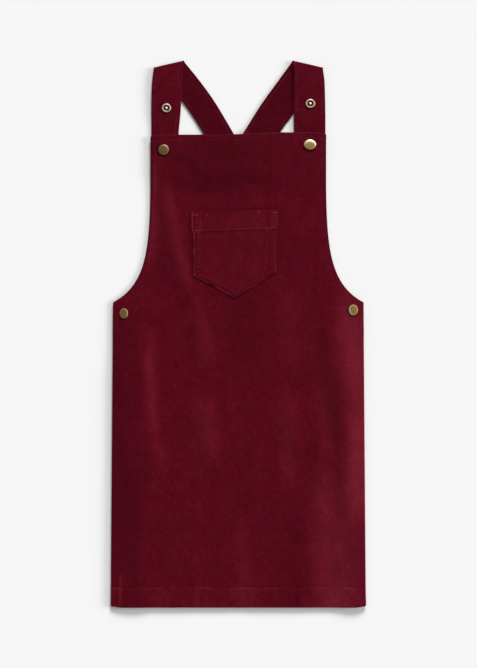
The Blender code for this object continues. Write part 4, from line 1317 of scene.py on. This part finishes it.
def strap_stitch_lines(face, other):
    """Stitch lines along both edges of one face of a strap, as points and normals."""
    up = unit(face - other)
    width = np.linalg.norm(face[:, -1] - face[:, 0], axis=-1)
    rows = np.arange(len(face))
    lines = []
    for place in (STRAP_STITCH / width, 1 - STRAP_STITCH / width):
        column = place * STRAP_COLUMNS
        low = np.floor(column).astype(int)
        share = (column - low)[:, None]
        lines.append((face[rows, low] * (1 - share) + face[rows, low + 1] * share, up[rows, low]))
    return lines


def in_sight(lines):
    """The parts of a strap's inner stitch lines that the bib doesn't hide."""
    kept = []
    for points, normals in lines:
        shown = points[:, 1] > STRAP_HIDDEN_Y
        kept.append((points[shown], normals[shown]))
    return kept


# Snaps

def turned(snap, profile, place, finish):
    """Piece turned from a profile of (radius, height) rows about a snap's axis."""
    location, normal = place
    table = np.array(profile)
    steps = np.linspace(0, len(table) - 1, (len(table) - 1) * PROFILE_STEPS + 1)
    radius, height = (curve_through(np.arange(len(table)), column, steps) for column in table.T)
    angle = 2 * math.pi * np.arange(SNAP_SIDES) / SNAP_SIDES
    x = radius[1:-1, None] * np.cos(angle)
    y = radius[1:-1, None] * np.sin(angle)
    z = np.broadcast_to(height[1:-1, None], x.shape)
    # The grain map turns to point towards the side of the snap's painted highlight.
    spin = math.radians(snap.rubbed)
    toward = x * math.cos(spin) + y * math.sin(spin)
    aside = y * math.cos(spin) - x * math.sin(spin)
    plan = np.stack([toward, aside], -1).reshape(-1, 2) / (snap.wide / 2)
    grain = np.concatenate([[(0.0, 0.0)], plan, [(0.0, 0.0)]])
    rings = np.stack([x, y * snap.tall / snap.wide, z], -1).reshape(-1, 3)
    vertices = np.concatenate([[(0.0, 0.0, height[0])], rings, [(0.0, 0.0, height[-1])]])
    numbers = 1 + np.arange(len(rings)).reshape(-1, SNAP_SIDES)
    sides = [(k, (k + 1) % SNAP_SIDES) for k in range(SNAP_SIDES)]
    last = len(vertices) - 1
    faces = [(0, 1 + a, 1 + b) for a, b in sides]
    for high, low in zip(numbers, numbers[1:]):
        faces.extend(ring_quads(high, low).tolist())
    faces.extend((last, last - SNAP_SIDES + b, last - SNAP_SIDES + a) for a, b in sides)
    turn = np.array(Vector((0, 0, 1)).rotation_difference(normal).to_matrix())
    vertices = vertices @ turn.T + np.array(location)
    # Each point carries the snap's share of painted highlight.
    wear = np.full(len(vertices), snap.wear)
    piece = new_piece(snap.name + "_brass", vertices, faces, grain, finish, wear)
    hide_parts(snap.name)
    return piece


def stem(rear, end):
    """Profile of a snap's post through the cloth and of the wider part behind it."""
    return [(POST, GAP), (POST, rear), (SOCKET, rear), (SOCKET, end), (0.0, end)]


def cap_profile(snap, socket):
    """A brass cap on the cloth, its post through it and the socket behind it."""
    half = snap.wide / 2
    rear = -(CLOTH + GAP)
    face = [(share * half, CAP_BASE + bulge * snap.dome) for share, bulge in CAP_FACE]
    rim = [(share * half, height) for share, height in CAP_RIM]
    return face + rim + stem(rear, rear - socket)


def stud_profile(snap):
    """A ring with a sunken centre and a nub in it, its post through the strap and a flange behind."""
    rear = -(STRAP + GAP)
    rim = [(share * snap.wide / 2, height) for share, height in STUD_RIM]
    return list(STUD_MIDDLE) + rim + stem(rear, rear - FLANGE)


def set_cap(snap, cloth, below, finish):
    """A closed snap in the front, whose socket ends just above the layer below."""
    place = seat(cloth, snap.x, snap.y)
    rest = seat(below, snap.x, snap.y)[0].z
    droop = SOCKET * place[1].xy.length
    socket = place[0].z - CLOTH - GAP - SOCKET_AIR - droop - rest
    return turned(snap, cap_profile(snap, socket), place, finish)


# Finishes

class Value:
    """A socket of a finish's nodes. Sums, differences, products and powers of it add Math nodes."""

    def __init__(self, finish, socket):
        self.finish = finish
        self.socket = socket

    def maths(self, operation, *terms):
        named = dict(zip(("Value", "Value_001"), terms))
        return self.finish.node("ShaderNodeMath", {"operation": operation}, named)

    def __add__(self, other):
        return self.maths("ADD", self, other)

    def __radd__(self, other):
        return self.maths("ADD", other, self)

    def __sub__(self, other):
        return self.maths("SUBTRACT", self, other)

    def __rsub__(self, other):
        return self.maths("SUBTRACT", other, self)

    def __mul__(self, other):
        return self.maths("MULTIPLY", self, other)

    def __rmul__(self, other):
        return self.maths("MULTIPLY", other, self)

    def __pow__(self, other):
        return self.maths("POWER", self, other)

    def sine(self):
        return self.maths("SINE", self)

    def size(self):
        return self.maths("ABSOLUTE", self)

    def ramp(self, kind, low, high):
        """0 up to low and 1 from high on."""
        return self.finish.node("ShaderNodeMapRange", {"interpolation_type": kind},
                                {"Value": self, "From Min": low, "From Max": high})

    def rise(self, low, high):
        """0 up to low, 1 from high on, and smooth between them."""
        return self.ramp("SMOOTHSTEP", low, high)

    def share(self, low, high):
        """0 up to low, 1 from high on, and even between them."""
        return self.ramp("LINEAR", low, high)


class Finish:
    """A finish of this dress, and the ways in which its nodes are added."""

    def __init__(self, name):
        self.material = bpy.data.materials.new(name)
        self.material.use_nodes = True
        self.tree = self.material.node_tree
        self.shader = self.tree.nodes["Principled BSDF"]

    def node(self, kind, settings=None, sockets=None, output=0):
        """Adds a node: its settings first, then its sockets' values or links. Returns one output."""
        added = self.tree.nodes.new(kind)
        for setting, value in (settings or {}).items():
            setattr(added, setting, value)
        self.fill(added, sockets or {})
        return Value(self, added.outputs[output])

    def fill(self, node, sockets):
        known = {socket.identifier: socket for socket in node.inputs}
        for name, value in sockets.items():
            if isinstance(value, Value):
                self.tree.links.new(value.socket, known[name])
            else:
                known[name].default_value = value

    def grain(self, across=1.0, along=1.0):
        """The place on the grain map, with its two directions scaled."""
        place = self.node("ShaderNodeUVMap", {"uv_map": GRAIN})
        return self.node("ShaderNodeVectorMath", {"operation": "MULTIPLY"},
                         {"Vector": place, "Vector_001": (across, along, 1.0)})

    def noise(self, across, along, detail=2.0, roughness=0.5, curl=0.0):
        """Noise on the grain map with its two directions scaled."""
        return self.node("ShaderNodeTexNoise", None,
                         {"Vector": self.grain(across, along), "Scale": 1.0, "Detail": detail,
                          "Roughness": roughness, "Distortion": curl})

    def across(self):
        """The first of the grain map's two values: how far across the ribs, or on a snap towards the
        side of its painted highlight.
        """
        return self.node("ShaderNodeSeparateXYZ", None, {"Vector": self.grain()})

    def radius(self):
        """Distance from the grain map's middle, which on a snap is its axis, in half widths."""
        return self.node("ShaderNodeVectorMath", {"operation": "LENGTH"}, {"Vector": self.grain()}, 1)

    def mix(self, share, low, high):
        """A colour between two, by share."""
        return self.node("ShaderNodeMix", {"data_type": "RGBA"},
                         {"Factor_Float": share, "A_Color": low, "B_Color": high}, output=2)

    def tone(self):
        """The piece's own values of painted light and shade, or on a snap its share of painted
        highlight.
        """
        return self.node("ShaderNodeAttribute", {"attribute_name": PAINTED_TONE}, None, output=2)

    def bump(self, height, distance):
        return self.node("ShaderNodeBump", None, {"Height": height, "Distance": distance})

    def set(self, **sockets):
        """Sets or links the shader's own sockets, named with _ for a space. Returns the material."""
        self.fill(self.shader, {name.replace("_", " "): value for name, value in sockets.items()})
        return self.material


CORD_DEEP = (0.0500, 0.0005, 0.0040, 1.0)
CORD_RIB = (0.1110, 0.0013, 0.0096, 1.0)
CORD_RIB_COOL = (0.1110, 0.0028, 0.0130, 1.0)
CORD_FLUFF = (0.1900, 0.0180, 0.0330, 1.0)
CORD_PAINTED_LIGHT = (0.2950, 0.0270, 0.0500, 1.0)
CORD_PAINTED_LIGHT_DEEP = (0.1600, 0.0080, 0.0220, 1.0)
CORD_PIT_AND_SHADE = (0.0290, 0.0002, 0.0021, 1.0)
THREAD_DARK = (0.090, 0.0030, 0.0110, 1.0)
THREAD_LIGHT = (0.260, 0.0340, 0.0560, 1.0)
BRASS_DARK = (0.235, 0.132, 0.060, 1.0)
BRASS_WARM = (0.520, 0.345, 0.115, 1.0)
BRASS_DIM_HIGHLIGHT = (0.400, 0.310, 0.200, 1.0)
BRASS_HIGHLIGHT = (0.880, 0.760, 0.560, 1.0)
BRASS_RIM_SHADE = (0.022, 0.010, 0.006, 1.0)
STUD_RING = (0.700, 0.480, 0.430, 1.0)
STUD_RECESS_SHADE = (0.014, 0.010, 0.005, 1.0)
STUD_NUB_HIGHLIGHT = (0.950, 0.860, 0.620, 1.0)


def needlecord():
    """Fine ribbed burgundy cord with a soft, uneven nap, and light and shade painted in from its points'
    values.
    """
    cloth = Finish("burgundy_needlecord")
    across = cloth.across()
    wander = cloth.noise(0.045, 0.012, detail=1.0)
    wale = ((across + wander * 1.4) * (math.pi / WALE)).sine().size() ** 0.6
    fibre = cloth.noise(2.2, 1.1, detail=3.0, roughness=0.65)
    fleck = cloth.noise(0.65, 0.38, detail=2.0, roughness=0.6)
    slub = cloth.noise(0.30, 0.17, detail=4.0, roughness=0.62)
    cloud = cloth.noise(0.115, 0.075, detail=2.0, roughness=0.55)
    patch = cloth.noise(0.045, 0.030, detail=3.0)
    lint = cloth.noise(0.70, 0.20, detail=1.0, curl=0.5).rise(0.62, 0.76)
    lint = lint + cloth.noise(0.18, 0.70, detail=1.0, curl=0.5).rise(0.62, 0.76) * 0.7
    pit = (1 - cloth.noise(0.55, 0.45, detail=1.0, curl=0.5)).rise(0.665, 0.73)
    nap = wale * 0.16 + fibre * 0.16 + fleck * 0.20 + slub * 0.30 + cloud * 0.20 + patch * 0.26
    nap = nap.rise(0.17, 1.11)
    rib = cloth.mix((cloud * 0.5 + slub * 0.5).rise(0.42, 0.58), CORD_RIB, CORD_RIB_COOL)
    base = cloth.mix(nap, CORD_DEEP, rib)
    base = cloth.mix(pit * 0.40, base, CORD_PIT_AND_SHADE)
    fluff = (fleck * 0.5 + slub * 0.3 + fibre * 0.2).rise(0.60, 0.70) * 0.22 + lint * 0.24
    base = cloth.mix(fluff.share(0.0, 1.0), base, CORD_FLUFF)
    # Painted light and shade: the points' values paint the cord lighter above zero, and darker below it
    # towards the colour of its dark pits.
    painted_light = cloth.mix(nap, CORD_PAINTED_LIGHT_DEEP, CORD_PAINTED_LIGHT)
    tone = cloth.tone() + (patch - 0.5) * 0.10
    tone = tone + (lint * 0.18 - pit * 0.20) * cloth.tone().share(-0.1, 0.3)
    base = cloth.mix(tone.share(0.0, 1.0), base, painted_light)
    base = cloth.mix(tone.share(0.0, -1.0), base, CORD_PIT_AND_SHADE)
    height = wale * 0.6 + fibre * 0.35 + slub * 0.8
    return cloth.set(
        Base_Color=base,
        Roughness=fibre * 0.15 + 0.82,
        Sheen_Weight=0.12,
        Sheen_Roughness=0.45,
        Sheen_Tint=(1.0, 0.34, 0.42, 1.0),
        Specular_IOR_Level=0.03,
        Normal=cloth.bump(height, CORD_RELIEF),
    )


def sewing_thread():
    """Matching sewing thread, a little lighter and smoother than the cord."""
    twist = Finish("burgundy_thread")
    strand = twist.noise(3.0, 9.0, detail=1.0)
    return twist.set(
        Base_Color=twist.mix(strand, THREAD_DARK, THREAD_LIGHT),
        Roughness=strand * 0.15 + 0.62,
        Specular_IOR_Level=0.12,
        Normal=twist.bump(strand, THREAD_RELIEF),
    )


def cap_brass():
    """Antique brass of the caps: dark inside, with a painted highlight on one side and painted shade in
    the rim's fold.
    """
    metal = Finish("aged_brass_cap")
    radius = metal.radius()
    cloud = metal.noise(2.2, 2.2, detail=4.0, roughness=0.6)
    speck = metal.noise(14.0, 14.0, detail=2.0)
    wear = metal.tone()
    # The rim's fold is painted dark, as shade.
    fold = radius.rise(0.88, 0.96)
    # Painted highlight: a crescent on one side, a thin bright rim, and a lighter face overall where the
    # snap's share is larger.
    crescent = (metal.across() + radius) * 0.5 + wear * 0.45 + (cloud - 0.5) * 0.3
    crescent = crescent.rise(0.62, 0.92)
    rim = (radius + cloud * 0.2).rise(0.86, 0.98) * 0.15
    dull = radius.rise(0.60, 0.90) * (1 - crescent)
    warm = metal.mix((wear * 1.4 + (cloud - 0.5) * 0.9).share(0.0, 1.0), BRASS_DARK, BRASS_WARM)
    highlight_color = metal.mix(wear.share(0.1, 0.6), BRASS_DIM_HIGHLIGHT, BRASS_HIGHLIGHT)
    color = metal.mix((crescent + rim).share(0.0, 1.0), warm, highlight_color)
    return metal.set(
        Base_Color=metal.mix(fold, color, BRASS_RIM_SHADE),
        Metallic=1.0,
        Roughness=speck * 0.12 + fold * 0.20 + dull * 0.26 + 0.42,
        Normal=metal.bump(speck, CAP_RELIEF),
    )


def stud_brass():
    """Brass of the open studs: a pale ring, painted shade in the recess, a painted highlight on the nub
    and painted shade in the fold outside.
    """
    metal = Finish("aged_brass_stud")
    radius = metal.radius()
    cloud = metal.noise(3.0, 3.0, detail=4.0, roughness=0.6)
    speck = metal.noise(16.0, 16.0, detail=2.0)
    # The fold outside is painted dark, as shade.
    fold = radius.rise(0.90, 0.97)
    ring = radius.rise(0.61, 0.67)
    nub = 1 - radius.rise(0.22, 0.30)
    shown = (ring + nub).share(0.0, 1.0) * (1 - fold)
    # The ring is paler where the snap's share of painted highlight is larger.
    worn_and_lit = metal.mix((cloud * 0.6 + metal.tone() * 0.8).share(0.0, 1.0), BRASS_WARM, STUD_RING)
    # The recess is painted dark as shade, and the nub painted bright as a highlight.
    color = metal.mix(ring, STUD_RECESS_SHADE, worn_and_lit)
    color = metal.mix(nub, color, STUD_NUB_HIGHLIGHT)
    return metal.set(
        Base_Color=metal.mix(fold, color, BRASS_RIM_SHADE),
        Metallic=shown * 0.8,
        Roughness=speck * 0.15 + 0.80 - shown * 0.44,
        Specular_IOR_Level=0.1,
        Normal=metal.bump(speck, STUD_RELIEF),
    )


# The dress

def make_cloth(name, node, faces, roundness, cord, painted_tone_at=None):
    """A cloth piece that takes a node's place, and the surface on which others lie."""
    piece = cloth_wall(name, *faces, roundness, cord, painted_tone_at)
    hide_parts(node)
    return piece, surface_of(piece)


def make_front(cord, thread):
    faces = front_faces()
    front, surface = make_cloth("front_cloth", "front_panel", faces, CUT_RIM, cord, front_painted_light)
    lines = [laid_on(surface, path) for path in front_stitch_lines()]
    lines = [sunk_in(line, depth) for line, depth in zip(lines, FRONT_STITCH_DEPTHS)]
    sewn = stitching("front_stitching", lines, thread)
    declare_sheet(panel_cut(faces[0]))
    return surface


def make_back(cord, thread):
    faces = back_faces()
    back, surface = make_cloth("back_cloth", "back_panel", faces, CUT_RIM, cord)
    lines = [laid_on(surface, path, above=False) for path in back_stitch_lines()]
    sewn = stitching("back_stitching", lines, thread)
    declare_sheet(panel_cut(faces[0]))
    return surface


def make_pocket(cord, thread):
    faces = pocket_faces()
    pocket, surface = make_cloth("pocket_cloth", "chest_pocket", faces, CUT_RIM, cord, pocket_painted_light)
    lines = [laid_on(surface, path) for path in pocket_stitch_lines()]
    lines[:2] = [sunk_in(line, depth) for line, depth in zip(lines, POCKET_STITCH_DEPTHS)]
    sewn = stitching("pocket_stitching", lines, thread)
    declare_sheet(pocket_cut(faces[0]))


def make_strap(side, front_run, back_run, upper, creases, cord, thread):
    outer, inner = strap_faces(front_run, back_run, upper, creases)
    name = f"strap_{side}"
    strap, surface = make_cloth(name + "_cloth", name, (outer, inner), STRAP_RIM, cord, strap_painted_shade)
    bend = (len(front_run) - 1) * STRAP_STEPS + 1
    lines = strap_stitch_lines(outer, inner)
    for run in (slice(None, bend), slice(bend + FOLD_STEPS, None)):
        lines += in_sight(strap_stitch_lines(inner[run], outer[run]))
    lines = [sunk_in(line, STRAP_STITCH_DEPTH) for line in lines]
    sewn = stitching(name + "_stitching", lines, thread)
    declare_sheet(strap_cut(outer))
    return surface


def make_dress():
    cord = needlecord()
    thread = sewing_thread()
    caps = cap_brass()
    studs = stud_brass()
    back = make_back(cord, thread)
    front = make_front(cord, thread)
    make_pocket(cord, thread)
    straps = (
        make_strap("left", LEFT_FRONT_RUN, LEFT_BACK_RUN, False, LEFT_STRAP_CREASES, cord, thread),
        make_strap("right", RIGHT_FRONT_RUN, RIGHT_BACK_RUN, True, RIGHT_STRAP_CREASES, cord, thread),
    )
    for strap, bib_snap, side_snap, strap_snap in zip(straps, BIB_SNAPS, SIDE_SNAPS, STRAP_SNAPS):
        set_cap(bib_snap, front, strap, caps)
        set_cap(side_snap, front, back, caps)
        turned(strap_snap, stud_profile(strap_snap), seat(strap, strap_snap.x, strap_snap.y), studs)


# Stage

FLOOR_HALF = 30.0           # metres, out to the horizon of a low view
FLOOR_Z = -0.0002
FLOOR_COLOR = (0.90, 0.90, 0.90, 1.0)
SKY = 0.28
SKY_COLOR = (1.0, 1.0, 1.0, 1.0)
Sun = namedtuple("Sun", "name azimuth elevation strength angle")
# Azimuth counts from the hem's side, anticlockwise from above. angle is the lamp's width.
SUNS = (
    Sun("window", 170.0, 27.0, 3.4, 22.0),
    Sun("side_lamp", 96.0, 21.0, 2.25, 24.0),
)
CAMERA_X = 0.00026
CAMERA_Y = -0.0002
CAMERA_Z = 2.405
SEEN_Z = 0.005              # half way up the dress
SEEN_HEIGHT = 0.8684        # what the camera takes in at that level, from hem's side to shoulders' side
SENSOR = 36.0


def make_stage():
    """Pale floor, even daylight, a broad window light and a low lamp."""
    bpy.ops.mesh.primitive_plane_add(size=2 * FLOOR_HALF, location=(0, 0, FLOOR_Z))
    floor = bpy.context.object
    floor.name = "floor"
    paper = Finish("pale_paper")
    floor.data.materials.append(paper.set(Base_Color=FLOOR_COLOR, Roughness=0.9, Specular_IOR_Level=0.1))
    world = bpy.data.worlds.new("daylight")
    bpy.context.scene.world = world
    world.use_nodes = True
    background = world.node_tree.nodes["Background"]
    background.inputs["Color"].default_value = SKY_COLOR
    background.inputs["Strength"].default_value = SKY
    for sun in SUNS:
        lamp = bpy.data.lights.new(sun.name, "SUN")
        lamp.energy = sun.strength
        lamp.angle = math.radians(sun.angle)
        holder = bpy.data.objects.new(sun.name, lamp)
        tilt = math.radians(90.0 - sun.elevation)
        holder.rotation_euler = (tilt, 0.0, math.radians(sun.azimuth))
        bpy.context.scene.collection.objects.link(holder)


def make_camera():
    """Camera straight above the dress."""
    lens = bpy.data.cameras.new("camera")
    lens.sensor_fit = "VERTICAL"
    lens.sensor_height = SENSOR
    lens.lens = SENSOR * (CAMERA_Z - SEEN_Z) / SEEN_HEIGHT
    camera = bpy.data.objects.new("camera", lens)
    camera.location = (CAMERA_X, CAMERA_Y, CAMERA_Z)
    bpy.context.scene.collection.objects.link(camera)
    bpy.context.scene.camera = camera
    bpy.context.scene.view_settings.view_transform = "Standard"


make_dress()
make_stage()
make_camera()
